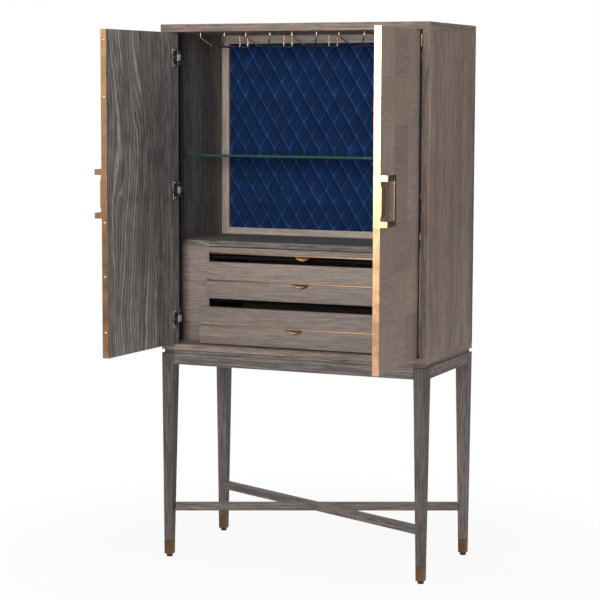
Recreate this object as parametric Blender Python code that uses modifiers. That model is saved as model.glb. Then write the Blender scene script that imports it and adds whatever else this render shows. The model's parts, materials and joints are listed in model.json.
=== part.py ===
"""Bar cabinet on a four-legged stand: two hinged doors with wrap-round pulls, a stemware rack of bent wire,
a glass shelf, a quilted back, a slide-out tray and two drawers. Metres, +Z up, the front faces -Y."""

import math

import bmesh
import bpy
from mathutils import Matrix, Vector

# Outer size of the whole cabinet, and of the carcase that stands on the stand.
WIDTH = 0.900
DEPTH = 0.440
HEIGHT = 1.714
CARCASE_HEIGHT = 1.033

# Boards of the carcase, and the hairline left between pieces that rest on each other.
TOP_BOARD = 0.024
BOTTOM_BOARD = 0.019
SIDE = 0.022
BACK = 0.017
FIT = 0.0003
SOFT_EDGE = 0.0008
CUT_OVERRUN = 0.010

# Stand: recessed plinth board, tapered legs with metal feet, aprons and a crossed stretcher.
PLINTH_HEIGHT = 0.011
PLINTH_INSET = 0.007
LEG_TOP = 0.042
LEG_FOOT = 0.025
LEG_OUTER_TAPER = 0.004
APRON_HEIGHT = 0.036
APRON_THICKNESS = 0.020
APRON_INSET = 0.002
STRETCHER_LEVEL = 0.151
STRETCHER_HEIGHT = 0.024
STRETCHER_WIDTH = 0.026
FERRULE_HEIGHT = 0.045
FERRULE_WALL = 0.0012
FERRULE_FLOOR = 0.002
GLIDE_HEIGHT = 0.009
GLIDE_RADIUS = 0.010

# Drawer case in the lower part, set back from the doors.
CASE_SETBACK = 0.105
STILE_WIDTH = 0.096
STILE_THICKNESS = 0.018
CASE_SIDE = 0.016
DECK = 0.0185
RAIL_SETBACK = 0.026
RAIL_DEPTH = 0.018
RAIL_HEIGHT = 0.009
LEDGE_WIDTH = 0.022
LEDGE_HEIGHT = 0.005

# Drawers and tray: heights run upwards from the bottom board.
LOWER_FRONT_GAP = 0.003
FRONT_HEIGHT = 0.118
DRAWER_SHADOW_GAP = 0.0215
TRAY_SHADOW_GAP = 0.025
TRAY_THICKNESS = 0.021
TRAY_HEADROOM = 0.002
TRAY_REAR_GAP = 0.028
FRONT_SIDE_GAP = 0.003
FRONT_THICKNESS = 0.018
BOX_SIDE_GAP = 0.012
BOX_RAISE = 0.012
BOX_HEIGHT = 0.090
BOX_REAR_GAP = 0.030
BOX_WALL = 0.012
INLAY_HEIGHT = 0.0035
INLAY_DEPTH = 0.003
INLAY_PROUD = 0.0006
INLAY_CENTRE_SHARE = 0.5
PULL_WIDTH = 0.058
PULL_DROP = 0.014
PULL_PROUD = 0.0042
PULL_STEPS = 14
TRAY_EDGE_HEIGHT = 0.0035
TRAY_EDGE_DEPTH = 0.002

# How far each one stands open in the pose that is modelled.
TRAY_OUT = 0.006
UPPER_DRAWER_OUT = 0.025
LOWER_DRAWER_OUT = 0.076

# Upper compartment: framed quilted back, glass shelf on pins.
FRAME_DEPTH = 0.023
FRAME_SIDE = 0.027
FRAME_TOP = 0.027
FRAME_BOTTOM = 0.022
QUILT_BASE = 0.010
QUILT_CROWN = 0.009
QUILT_COLUMNS = 15
QUILT_ROWS = 7
QUILT_CUSHION_SHARE = 0.42
QUILT_BORDER_SHARE = 0.35
SHELF_ABOVE_DECK = 0.269
SHELF_THICKNESS = 0.008
SHELF_SETBACK = 0.115
SHELF_SIDE_GAP = 0.0008
PIN_RADIUS = 0.003
PIN_LENGTH = 0.009
PIN_FROM_SHELF_EDGE = 0.040

# Stemware rack: units of one bent wire each under the top board.
RACK_UNITS = 5
RACK_FROM_SIDE = 0.110
RACK_SETBACK = 0.103
RACK_REAR_GAP = 0.060
RACK_MOUTH = 0.084
RACK_SLOT = 0.034
RACK_REAR_SLOT = 0.029
RACK_DROP = 0.015
RACK_FLARE_DROP = 0.028
RACK_FLARE_BACK = 0.042
WIRE_RADIUS = 0.0024
WIRE_BEND = 0.007
WIRE_BEND_STEPS = 3

# Doors, inset between the boards and the sides, each on one vertical hinge line.
DOOR_THICKNESS = 0.020
DOOR_GAP = 0.002
DOOR_SIDE_GAP = 0.0015
DOOR_MEETING_GAP = 0.003
STRIP_THICKNESS = 0.0015
PIVOT_FROM_EDGE = 0.0135
PIVOT_FROM_FACE = 0.006
LEFT_DOOR_OPEN = math.radians(93.0)
RIGHT_DOOR_OPEN = math.radians(94.5)
DOOR_LIMIT = math.radians(95.0)

# Concealed hinges: a cup in the door, an arm on the side that reaches into the cup.
HINGE_INSET = 0.080
HINGE_MIDDLE_LEVEL = 0.492
CUP_FROM_EDGE = 0.0225
CUP_RADIUS = 0.0175
CUP_WALL = 0.0015
CUP_DEPTH = 0.011
CUP_FLOOR = 0.001
CUP_STEPS = 24
FLANGE_THICKNESS = 0.0012
FLANGE_WIDTH = 0.024
FLANGE_LENGTH = 0.060
FLANGE_RADIUS = 0.019
ARM_SHEET = 0.002
ARM_HEIGHT = 0.020
ARM_TIP_GAP = 0.0006
ARM_SWEEP_GAP = 0.002
ARM_BODY_THICKNESS = 0.011
ARM_BODY_LENGTH = 0.072
ARM_PLATE_HEIGHT = 0.050
ARM_PLATE_LENGTH = 0.036

# Pulls: a folded plate that wraps the door's edge and carries a C-shaped grip.
HANDLE_LEVEL = 0.517
HANDLE_HEIGHT = 0.148
HANDLE_ARM = 0.0175
HANDLE_REACH = 0.0235
HANDLE_LENGTH = 0.084
HANDLE_SHEET = 0.003
HANDLE_EDGE_PLATE = 0.0009
HANDLE_CORNER = 0.003
GRIP_WIDTH = 0.0175
GUARD_HEIGHT = 0.104
GUARD_WIDTH = 0.044
GUARD_THICKNESS = 0.004
GUARD_CHAMFER = 0.014

# Places that follow from the sizes above.
carcase_bottom = HEIGHT - CARCASE_HEIGHT
floor_level = carcase_bottom + BOTTOM_BOARD
ceiling_level = HEIGHT - TOP_BOARD
inner_half = WIDTH / 2 - SIDE
front_plane = -DEPTH / 2
back_plane = DEPTH / 2 - BACK
plinth_bottom = carcase_bottom - PLINTH_HEIGHT
leg_top_level = plinth_bottom - FIT
leg_bottom_level = GLIDE_HEIGHT + FERRULE_FLOOR + FIT
ferrule_top = GLIDE_HEIGHT + FERRULE_HEIGHT
case_front = front_plane + CASE_SETBACK
opening_half = inner_half - STILE_WIDTH
front_half = opening_half - FRONT_SIDE_GAP
lower_front_level = floor_level + LOWER_FRONT_GAP
upper_front_level = lower_front_level + FRONT_HEIGHT + DRAWER_SHADOW_GAP
tray_level = upper_front_level + FRONT_HEIGHT + TRAY_SHADOW_GAP
deck_level = tray_level + TRAY_THICKNESS + TRAY_HEADROOM
deck_top = deck_level + DECK
tray_depth = back_plane - case_front - TRAY_REAR_GAP
box_depth = back_plane - case_front - FRONT_THICKNESS - FIT - BOX_REAR_GAP
frame_front = back_plane - FIT - FRAME_DEPTH
rack_front = front_plane + RACK_SETBACK
rack_rear = frame_front - RACK_REAR_GAP
rack_pitch = 2 * (inner_half - RACK_FROM_SIDE) / (RACK_UNITS - 1)
shelf_level = deck_top + SHELF_ABOVE_DECK
shelf_front = front_plane + SHELF_SETBACK
door_low = floor_level + DOOR_GAP
door_high = ceiling_level - DOOR_GAP
door_span = inner_half - DOOR_SIDE_GAP - DOOR_MEETING_GAP / 2
free_edge = door_span - PIVOT_FROM_EDGE
outer_face = -PIVOT_FROM_FACE
inner_face = DOOR_THICKNESS - PIVOT_FROM_FACE
pivot_x = inner_half - DOOR_SIDE_GAP - PIVOT_FROM_EDGE
pivot_y = front_plane + PIVOT_FROM_FACE
cup_centre = PIVOT_FROM_EDGE - CUP_FROM_EDGE
hinge_levels = (
    ceiling_level - HINGE_INSET,
    floor_level + HINGE_MIDDLE_LEVEL,
    floor_level + HINGE_INSET,
)

# The part's origin lies on the floor under the middle of the cabinet with its doors standing square open.
datum_y = (free_edge - PIVOT_FROM_FACE) / 2


def clear_scene():
    """Start from an empty scene."""
    for thing in list(bpy.data.objects):
        bpy.data.objects.remove(thing, do_unlink=True)


def new_collection(name):
    """Collection linked to the scene."""
    group = bpy.data.collections.new(name)
    bpy.context.scene.collection.children.link(group)
    return group


clear_scene()
cabinet = new_collection("bar_cabinet")
cutters = new_collection("bar_cabinet_cutters")


def make_material(name, colour, roughness, metallic=0.0, transmission=0.0):
    """Principled material with the piece's colour."""
    look = bpy.data.materials.new(name)
    look.use_nodes = True
    shader = look.node_tree.nodes["Principled BSDF"]
    shader.inputs["Base Color"].default_value = (*colour, 1.0)
    shader.inputs["Roughness"].default_value = roughness
    shader.inputs["Metallic"].default_value = metallic
    shader.inputs["Transmission Weight"].default_value = transmission
    return look


def outer_oak():
    """Grey-brown limed oak of the carcase and the doors."""
    return make_material("outer_oak", (0.20, 0.15, 0.12), 0.55)


def front_oak():
    """Lighter oak of the drawer fronts, the tray and the back frame."""
    return make_material("front_oak", (0.27, 0.20, 0.16), 0.52)


def stand_oak():
    """Darker oak of the stand."""
    return make_material("stand_oak", (0.15, 0.12, 0.10), 0.58)


def drawer_birch():
    """Pale wood of the drawer boxes."""
    return make_material("drawer_birch", (0.45, 0.36, 0.26), 0.6)


def polished_brass():
    """Brass of the pulls, the inlays, the edge strips and the rack."""
    return make_material("polished_brass", (0.80, 0.52, 0.30), 0.22, metallic=1.0)


def bronze():
    """Dark brass of the feet."""
    return make_material("bronze", (0.30, 0.18, 0.10), 0.35, metallic=1.0)


def nickel():
    """Plated steel of the hinges."""
    return make_material("nickel", (0.62, 0.62, 0.60), 0.28, metallic=1.0)


def blue_velvet():
    """Velvet of the quilted back."""
    return make_material("blue_velvet", (0.012, 0.045, 0.16), 0.85)


def shelf_glass():
    """Clear glass of the shelf."""
    return make_material("shelf_glass", (0.75, 0.88, 0.85), 0.03, transmission=1.0)


looks = {
    "outer": outer_oak(),
    "front": front_oak(),
    "stand": stand_oak(),
    "birch": drawer_birch(),
    "brass": polished_brass(),
    "bronze": bronze(),
    "nickel": nickel(),
    "velvet": blue_velvet(),
    "glass": shelf_glass(),
}


def make_empty(name, location, parent=None, turn=0.0):
    """Axis marker that moving pieces hang from."""
    marker = bpy.data.objects.new(name, None)
    marker.location = location
    marker.rotation_euler = (0.0, 0.0, turn)
    marker.parent = parent
    cabinet.objects.link(marker)
    return marker


datum = make_empty("cabinet_datum", (0.0, datum_y, 0.0))


def place(name, data, location, look, parent):
    """Object in the model, or a hidden cutter when it has no look."""
    thing = bpy.data.objects.new(name, data)
    thing.location = location
    thing.parent = parent or datum
    if look is None:
        cutters.objects.link(thing)
        thing.hide_render = True
        thing.display_type = "WIRE"
    else:
        cabinet.objects.link(thing)
        data.materials.append(looks[look])
    return thing


def soften(thing, width=SOFT_EDGE, segments=1):
    """Break the sharp edges."""
    bevel = thing.modifiers.new("edges", "BEVEL")
    bevel.width = width
    bevel.segments = segments
    bevel.limit_method = "ANGLE"
    return thing


def block(name, x_pair, y_pair, z_pair, look=None, parent=None):
    """Rectangular block between two places along each axis."""
    sizes = [abs(pair[1] - pair[0]) for pair in (x_pair, y_pair, z_pair)]
    centre = [sum(pair) / 2 for pair in (x_pair, y_pair, z_pair)]
    shape = bmesh.new()
    bmesh.ops.create_cube(shape, size=1.0)
    bmesh.ops.scale(shape, vec=sizes, verts=shape.verts)
    data = bpy.data.meshes.new(name)
    shape.to_mesh(data)
    shape.free()
    return place(name, data, centre, look, parent)


def tapered_block(name, low_rectangle, high_rectangle, z_pair, look=None, parent=None):
    """Block whose lower and upper rectangles (x low, x high, y low, y high) differ."""
    shape = bmesh.new()
    bmesh.ops.create_cube(shape, size=1.0)
    for corner in shape.verts:
        x_low, x_high, y_low, y_high = high_rectangle if corner.co.z > 0 else low_rectangle
        corner.co = (
            x_high if corner.co.x > 0 else x_low,
            y_high if corner.co.y > 0 else y_low,
            z_pair[1] if corner.co.z > 0 else z_pair[0],
        )
    data = bpy.data.meshes.new(name)
    shape.to_mesh(data)
    shape.free()
    return place(name, data, (0.0, 0.0, 0.0), look, parent)


def disc(name, radius, centre, y_pair=None, z_pair=None, x_pair=None, look=None, parent=None):
    """Cylinder along the one axis whose ends are given."""
    pair = y_pair or z_pair or x_pair
    turn = Matrix.Identity(4)
    if y_pair:
        turn = Matrix.Rotation(math.radians(90.0), 4, "X")
    if x_pair:
        turn = Matrix.Rotation(math.radians(90.0), 4, "Y")
    shape = bmesh.new()
    bmesh.ops.create_cone(
        shape, cap_ends=True, segments=CUP_STEPS, radius1=radius, radius2=radius,
        depth=abs(pair[1] - pair[0]), matrix=turn,
    )
    data = bpy.data.meshes.new(name)
    shape.to_mesh(data)
    shape.free()
    data.shade_smooth()
    data.set_sharp_from_angle(angle=math.radians(35.0))
    middle = sum(pair) / 2
    across, along = centre
    if y_pair:
        location = (across, middle, along)
    elif x_pair:
        location = (middle, across, along)
    else:
        location = (across, along, middle)
    return place(name, data, location, look, parent)


def as_mesh(thing, look=None):
    """Turn a curve object into a mesh object with its caps welded."""
    evaluated = thing.evaluated_get(bpy.context.evaluated_depsgraph_get())
    data = bpy.data.meshes.new_from_object(evaluated)
    shape = bmesh.new()
    shape.from_mesh(data)
    bmesh.ops.remove_doubles(shape, verts=shape.verts, dist=FIT / 10)
    bmesh.ops.recalc_face_normals(shape, faces=shape.faces)
    shape.to_mesh(data)
    shape.free()
    name, parent, matrix = thing.name, thing.parent, thing.matrix_world.copy()
    bpy.data.objects.remove(thing, do_unlink=True)
    data.materials.clear()
    solid = place(name, data, (0.0, 0.0, 0.0), look, parent)
    solid.matrix_world = matrix
    return solid


def outline(name, points, thickness, location, turn, look=None, parent=None):
    """Flat outline of the given points, half its thickness to each side of its own plane."""
    curve = bpy.data.curves.new(name, "CURVE")
    curve.dimensions = "2D"
    curve.fill_mode = "BOTH"
    curve.extrude = thickness / 2
    path = curve.splines.new("POLY")
    path.points.add(len(points) - 1)
    for point, (across, along) in zip(path.points, points):
        point.co = Vector((across, along, 0.0)).to_4d()
    path.use_cyclic_u = True
    thing = place(name, curve, location, None, parent)
    thing.rotation_euler = turn
    bpy.context.view_layer.update()
    return as_mesh(thing, look)


def combine(thing, other, operation):
    """Boolean of one piece with a shape from the cutters."""
    step = thing.modifiers.new(operation.lower(), "BOOLEAN")
    step.operation = operation
    step.solver = "EXACT"
    step.object = other
    return thing


def cut(thing, *tools):
    """Take each tool's shape away."""
    for tool in tools:
        combine(thing, tool, "DIFFERENCE")
    return thing


def join(thing, *additions):
    """Add each shape to the piece as one body."""
    for addition in additions:
        combine(thing, addition, "UNION")
    return thing


def mirrored(side, pair):
    """A pair of X places, turned over for the left side."""
    return sorted((side * pair[0], side * pair[1]))


def leg_rectangle(side, end, level, grow=0.0):
    """Section of a leg at a height: the outer faces lean in a little, the inner faces more."""
    share = level / leg_top_level
    section = LEG_FOOT + (LEG_TOP - LEG_FOOT) * share
    inset = LEG_OUTER_TAPER * (1.0 - share)
    x_pair = mirrored(side, (WIDTH / 2 - inset + grow, WIDTH / 2 - inset - section - grow))
    y_pair = mirrored(end, (DEPTH / 2 - inset + grow, DEPTH / 2 - inset - section - grow))
    return (*x_pair, *y_pair)


def build_leg(name, side, end):
    """Tapered leg under the plinth board, with a thinner tenon at its end that stands in the metal foot."""
    levels = (ferrule_top + FIT, leg_top_level)
    rectangles = [leg_rectangle(side, end, level) for level in levels]
    leg = soften(tapered_block(f"leg_{name}", *rectangles, levels, "stand"))
    tenon_levels = (leg_bottom_level, levels[0] + FERRULE_WALL)
    tenon = [leg_rectangle(side, end, level, -FERRULE_WALL - FIT) for level in tenon_levels]
    join(leg, tapered_block(f"leg_{name}_tenon", *tenon, tenon_levels))


def build_foot(name, side, end):
    """Metal sleeve flush with the leg above it, with the round glide that stands on the floor under it."""
    levels = (GLIDE_HEIGHT, ferrule_top)
    outer = [leg_rectangle(side, end, level) for level in levels]
    foot = tapered_block(f"foot_{name}", *outer, levels, "bronze")
    hollow_levels = (GLIDE_HEIGHT + FERRULE_FLOOR, ferrule_top + CUT_OVERRUN)
    inner = [leg_rectangle(side, end, level, -FERRULE_WALL) for level in hollow_levels]
    cut(foot, tapered_block(f"foot_{name}_hollow", *inner, hollow_levels))
    x_low, x_high, y_low, y_high = leg_rectangle(side, end, GLIDE_HEIGHT)
    centre = ((x_low + x_high) / 2, (y_low + y_high) / 2)
    glide_top = GLIDE_HEIGHT + FERRULE_FLOOR / 2
    join(foot, disc(f"foot_{name}_glide", GLIDE_RADIUS, centre, z_pair=(0.0, glide_top)))


def build_long_apron(name, end):
    """Rail between the two front or the two back legs, its ends following their taper."""
    levels = (plinth_bottom - APRON_HEIGHT, leg_top_level)
    y_pair = mirrored(end, (DEPTH / 2 - APRON_INSET, DEPTH / 2 - APRON_INSET - APRON_THICKNESS))
    rectangles = []
    for level in levels:
        reach = leg_rectangle(1, end, level)[0] - FIT
        rectangles.append((-reach, reach, *y_pair))
    soften(tapered_block(name, *rectangles, levels, "stand"))


def build_short_apron(name, side):
    """Rail between a front and a back leg."""
    levels = (plinth_bottom - APRON_HEIGHT, leg_top_level)
    x_pair = mirrored(side, (WIDTH / 2 - APRON_INSET, WIDTH / 2 - APRON_INSET - APRON_THICKNESS))
    rectangles = []
    for level in levels:
        reach = leg_rectangle(side, 1, level)[2] - FIT
        rectangles.append((*x_pair, -reach, reach))
    soften(tapered_block(name, *rectangles, levels, "stand"))


def stretcher_bar(name, turn, width, z_pair, look=None):
    """Straight bar through the stand's centre, long enough to run into the legs."""
    half = math.hypot(WIDTH / 2 - LEG_TOP, DEPTH / 2 - LEG_TOP) + LEG_FOOT / 2
    bar = block(name, (-half, half), (-width / 2, width / 2), z_pair, look)
    bar.rotation_euler = (0.0, 0.0, turn)
    return bar


def build_stretchers():
    """Two diagonal bars from leg to leg, half-lapped where they cross and notched round the legs."""
    low, high = STRETCHER_LEVEL, STRETCHER_LEVEL + STRETCHER_HEIGHT
    middle = (low + high) / 2
    reach_x, _, reach_y, _ = leg_rectangle(1, 1, middle)
    angle = math.atan2(reach_y, reach_x)
    notch_levels = (low - CUT_OVERRUN, high + CUT_OVERRUN)
    lap_width = STRETCHER_WIDTH + 2 * FIT
    laps = {1: (middle - FIT / 2, high + CUT_OVERRUN), -1: (low - CUT_OVERRUN, middle + FIT / 2)}
    for lean, name in ((1, "stretcher_a"), (-1, "stretcher_b")):
        bar = stretcher_bar(name, lean * angle, STRETCHER_WIDTH, (low, high), "stand")
        cut(bar, stretcher_bar(f"{name}_lap", -lean * angle, lap_width, laps[lean]))
        for side in (1, -1):
            end = side * lean
            rectangles = [leg_rectangle(side, end, level, FIT) for level in notch_levels]
            cut(bar, tapered_block(f"{name}_notch_{side + 1}", *rectangles, notch_levels))


def build_stand():
    """Legs, feet, aprons, stretchers and the plinth board that carries the carcase."""
    for name, side, end in (
        ("front_left", -1, -1), ("front_right", 1, -1), ("back_left", -1, 1), ("back_right", 1, 1),
    ):
        build_leg(name, side, end)
        build_foot(name, side, end)
    build_long_apron("apron_front", -1)
    build_long_apron("apron_back", 1)
    build_short_apron("apron_left", -1)
    build_short_apron("apron_right", 1)
    build_stretchers()
    half_x = WIDTH / 2 - PLINTH_INSET
    half_y = DEPTH / 2 - PLINTH_INSET
    levels = (plinth_bottom, carcase_bottom - FIT)
    block("plinth_board", (-half_x, half_x), (-half_y, half_y), levels, "stand")


def shelf_pins(name, side):
    """The two pins on one side panel that carry the glass shelf."""
    places = (shelf_front + PIN_FROM_SHELF_EDGE, frame_front - PIN_FROM_SHELF_EDGE)
    level = shelf_level - FIT - PIN_RADIUS
    x_pair = mirrored(side, (inner_half - PIN_LENGTH, inner_half + SIDE / 2))
    return [
        disc(f"{name}_pin_{number}", PIN_RADIUS, (place_y, level), x_pair=x_pair)
        for number, place_y in enumerate(places)
    ]


def build_carcase():
    """Top and bottom boards with the sides and the back between them."""
    full_x = (-WIDTH / 2, WIDTH / 2)
    full_y = (-DEPTH / 2, DEPTH / 2)
    soften(block("bottom_board", full_x, full_y, (carcase_bottom, floor_level), "outer"))
    soften(block("top_board", full_x, full_y, (ceiling_level, HEIGHT), "outer"))
    levels = (floor_level + FIT, ceiling_level - FIT)
    for side, name in ((-1, "side_left"), (1, "side_right")):
        x_pair = mirrored(side, (inner_half, WIDTH / 2))
        panel = block(name, x_pair, (front_plane, back_plane - FIT), levels, "outer")
        join(panel, *shelf_pins(name, side))
    block("back_panel", full_x, (back_plane, DEPTH / 2), levels, "outer")


def build_back_frame():
    """Flat frame against the back panel, open where the quilted panel sits."""
    half = inner_half - FIT
    levels = (deck_top + FIT, ceiling_level - FIT)
    frame = block("back_frame", (-half, half), (frame_front, back_plane - FIT), levels, "front")
    soften(frame)
    hole_x = (-half + FRAME_SIDE, half - FRAME_SIDE)
    hole_y = (frame_front - CUT_OVERRUN, back_plane + CUT_OVERRUN)
    hole_z = (levels[0] + FRAME_BOTTOM, levels[1] - FRAME_TOP)
    cut(frame, block("back_frame_hole", hole_x, hole_y, hole_z))


def quilt_faces(shape, corner_at, point_at, columns, rows):
    """Front of the quilt: every diamond between four seam corners carries a raised cushion."""
    for column in range(columns + 1):
        for row in range(rows + 1):
            if (column + row) % 2 == 0:
                continue
            around = [(column - 1, row), (column, row - 1), (column + 1, row), (column, row + 1)]
            inside = [at for at in around if 0 <= at[0] <= columns and 0 <= at[1] <= rows]
            if len(inside) == 4:
                raised = []
                for across, along in around:
                    share_x = column + (across - column) * QUILT_CUSHION_SHARE
                    share_z = row + (along - row) * QUILT_CUSHION_SHARE
                    raised.append(point_at(share_x, share_z, QUILT_CROWN))
                for number, at in enumerate(around):
                    following = (number + 1) % 4
                    ring = (corner_at[at], corner_at[around[following]], raised[following], raised[number])
                    shape.faces.new(ring)
                shape.faces.new(raised)
                continue
            inward_x = 1 if column == 0 else -1 if column == columns else 0
            inward_z = 1 if row == 0 else -1 if row == rows else 0
            share_x = column + inward_x * QUILT_BORDER_SHARE
            share_z = row + inward_z * QUILT_BORDER_SHARE
            raised = point_at(share_x, share_z, QUILT_CROWN / 2)
            middle = corner_at[(column, row)]
            tip = corner_at[(column + inward_x, row + inward_z)]
            ends = [corner_at[at] for at in inside if at != (column + inward_x, row + inward_z)]
            for end in ends:
                shape.faces.new((middle, end, raised))
                shape.faces.new((end, tip, raised))


def build_quilt():
    """Padded velvet panel: stitched in two directions into upright diamonds, drawn in at every seam."""
    half = inner_half - FRAME_SIDE - 2 * FIT
    low = deck_top + FRAME_BOTTOM + 2 * FIT
    high = ceiling_level - FRAME_TOP - 2 * FIT
    columns, rows = 2 * QUILT_COLUMNS, 2 * QUILT_ROWS
    step_x = 2 * half / columns
    step_z = (high - low) / rows
    rear = back_plane - FIT
    shape = bmesh.new()

    def point_at(across, along, raise_by):
        """Vertex on the front, so far along the panel, raised above the seams."""
        depth = rear - QUILT_BASE - raise_by
        return shape.verts.new((-half + across * step_x, depth, low + along * step_z))

    corner_at = {}
    for column in range(columns + 1):
        for row in range(rows + 1):
            on_border = column in (0, columns) or row in (0, rows)
            if on_border or (column + row) % 2 == 0:
                corner_at[(column, row)] = point_at(column, row, 0.0)
    quilt_faces(shape, corner_at, point_at, columns, rows)
    border = [(column, 0) for column in range(columns)]
    border += [(columns, row) for row in range(rows)]
    border += [(column, rows) for column in range(columns, 0, -1)]
    border += [(0, row) for row in range(rows, 0, -1)]
    front = [corner_at[at] for at in border]
    back = [shape.verts.new((vertex.co.x, rear, vertex.co.z)) for vertex in front]
    hub = shape.verts.new((0.0, rear, (low + high) / 2))
    for number in range(len(border)):
        following = (number + 1) % len(border)
        shape.faces.new((front[number], back[number], back[following], front[following]))
        shape.faces.new((back[number], hub, back[following]))
    bmesh.ops.recalc_face_normals(shape, faces=shape.faces)
    data = bpy.data.meshes.new("velvet_quilt")
    shape.to_mesh(data)
    shape.free()
    data.shade_smooth()
    data.set_sharp_from_angle(angle=math.radians(50.0))
    place("velvet_quilt", data, (0.0, 0.0, 0.0), "velvet", None)


def build_shelf():
    """Glass shelf on its four pins, up to the back frame."""
    half = inner_half - SHELF_SIDE_GAP
    levels = (shelf_level, shelf_level + SHELF_THICKNESS)
    soften(block("glass_shelf", (-half, half), (shelf_front, frame_front - FIT), levels, "glass"))


def bent_path(corners, radius, steps):
    """Straight runs through the corners with a round bend of the given radius at each inner one."""
    path = [corners[0]]
    for before, corner, after in zip(corners, corners[1:], corners[2:]):
        incoming = (corner - before).normalized()
        outgoing = (after - corner).normalized()
        turn = incoming.angle(outgoing)
        setback = radius * math.tan(turn / 2)
        towards = (outgoing - incoming * incoming.dot(outgoing)).normalized()
        start = corner - incoming * setback
        for step in range(steps + 1):
            angle = turn * step / steps
            ahead = incoming * (radius * math.sin(angle))
            aside = towards * (radius * (1.0 - math.cos(angle)))
            path.append(start + ahead + aside)
    path.append(corners[-1])
    return path


def build_rack_unit(name, centre):
    """One bent wire: flared mouth at the front, two rods, and a loop up to the board at the rear."""
    top = ceiling_level - FIT
    rod_level = ceiling_level - RACK_DROP - RACK_FLARE_DROP
    half_corners = [
        Vector((RACK_MOUTH / 2, rack_front, top)),
        Vector((RACK_MOUTH / 2, rack_front, ceiling_level - RACK_DROP)),
        Vector((RACK_SLOT / 2, rack_front + RACK_FLARE_BACK, rod_level)),
        Vector((RACK_REAR_SLOT / 2, rack_rear, rod_level)),
        Vector((RACK_REAR_SLOT / 2, rack_rear, top - WIRE_RADIUS)),
    ]
    other_half = [Vector((-corner.x, corner.y, corner.z)) for corner in reversed(half_corners)]
    path = bent_path(half_corners + other_half, WIRE_BEND, WIRE_BEND_STEPS)
    curve = bpy.data.curves.new(name, "CURVE")
    curve.dimensions = "3D"
    curve.bevel_depth = WIRE_RADIUS
    curve.bevel_resolution = 2
    curve.use_fill_caps = True
    wire = curve.splines.new("POLY")
    wire.points.add(len(path) - 1)
    for point, at in zip(wire.points, path):
        point.co = at.to_4d()
    place(name, curve, (centre, 0.0, 0.0), "brass", None)


def build_rack():
    """Row of wire units under the top board."""
    for number in range(RACK_UNITS):
        centre = (number - (RACK_UNITS - 1) / 2) * rack_pitch
        build_rack_unit(f"rack_wire_{number + 1}", centre)


def build_case():
    """Case of the drawers: deck, two sides with stiles and runner ledges, two cross rails."""
    half = inner_half - FIT
    rear = back_plane - FIT
    soften(block("deck_board", (-half, half), (case_front, rear), (deck_level, deck_top), "front"))
    levels = (floor_level + FIT, deck_level - FIT)
    ledge_y = (case_front + RAIL_SETBACK + RAIL_DEPTH + FIT, rear - CUT_OVERRUN)
    ledge_tops = {
        "tray": tray_level - FIT,
        "upper": upper_front_level + BOX_RAISE - FIT,
        "lower": lower_front_level + BOX_RAISE - FIT,
    }
    for side, name in ((-1, "case_side_left"), (1, "case_side_right")):
        stile_x = mirrored(side, (opening_half, half))
        case = block(name, stile_x, (case_front, case_front + STILE_THICKNESS), levels, "front")
        board_x = mirrored(side, (opening_half, opening_half + CASE_SIDE))
        board_y = (case_front + STILE_THICKNESS / 2, rear)
        join(case, block(f"{name}_board", board_x, board_y, levels))
        ledge_x = mirrored(side, (opening_half - LEDGE_WIDTH, opening_half + CASE_SIDE / 2))
        for ledge, top in ledge_tops.items():
            join(case, block(f"{name}_{ledge}_ledge", ledge_x, ledge_y, (top - LEDGE_HEIGHT, top)))
    rail_half = opening_half - FIT
    rail_y = (case_front + RAIL_SETBACK, case_front + RAIL_SETBACK + RAIL_DEPTH)
    rail_centres = {
        "drawer_rail": upper_front_level - DRAWER_SHADOW_GAP / 2,
        "tray_rail": tray_level - TRAY_SHADOW_GAP / 2,
    }
    for name, centre in rail_centres.items():
        rail_z = (centre - RAIL_HEIGHT / 2, centre + RAIL_HEIGHT / 2)
        block(name, (-rail_half, rail_half), rail_y, rail_z, "front")


def half_moon(name, top, y_pair, parent):
    """Segment of a round plate hanging from a straight upper edge, in front of a drawer."""
    radius = (PULL_WIDTH ** 2 / 4 + PULL_DROP ** 2) / (2 * PULL_DROP)
    reach = math.asin(PULL_WIDTH / 2 / radius)
    points = []
    for step in range(PULL_STEPS + 1):
        angle = -reach + 2 * reach * step / PULL_STEPS
        points.append((radius * math.sin(angle), radius * (math.cos(reach) - math.cos(angle))))
    thickness = y_pair[1] - y_pair[0]
    location = (0.0, sum(y_pair) / 2, top)
    turn = (math.radians(90.0), 0.0, 0.0)
    return outline(name, points, thickness, location, turn, parent=parent)


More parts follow.
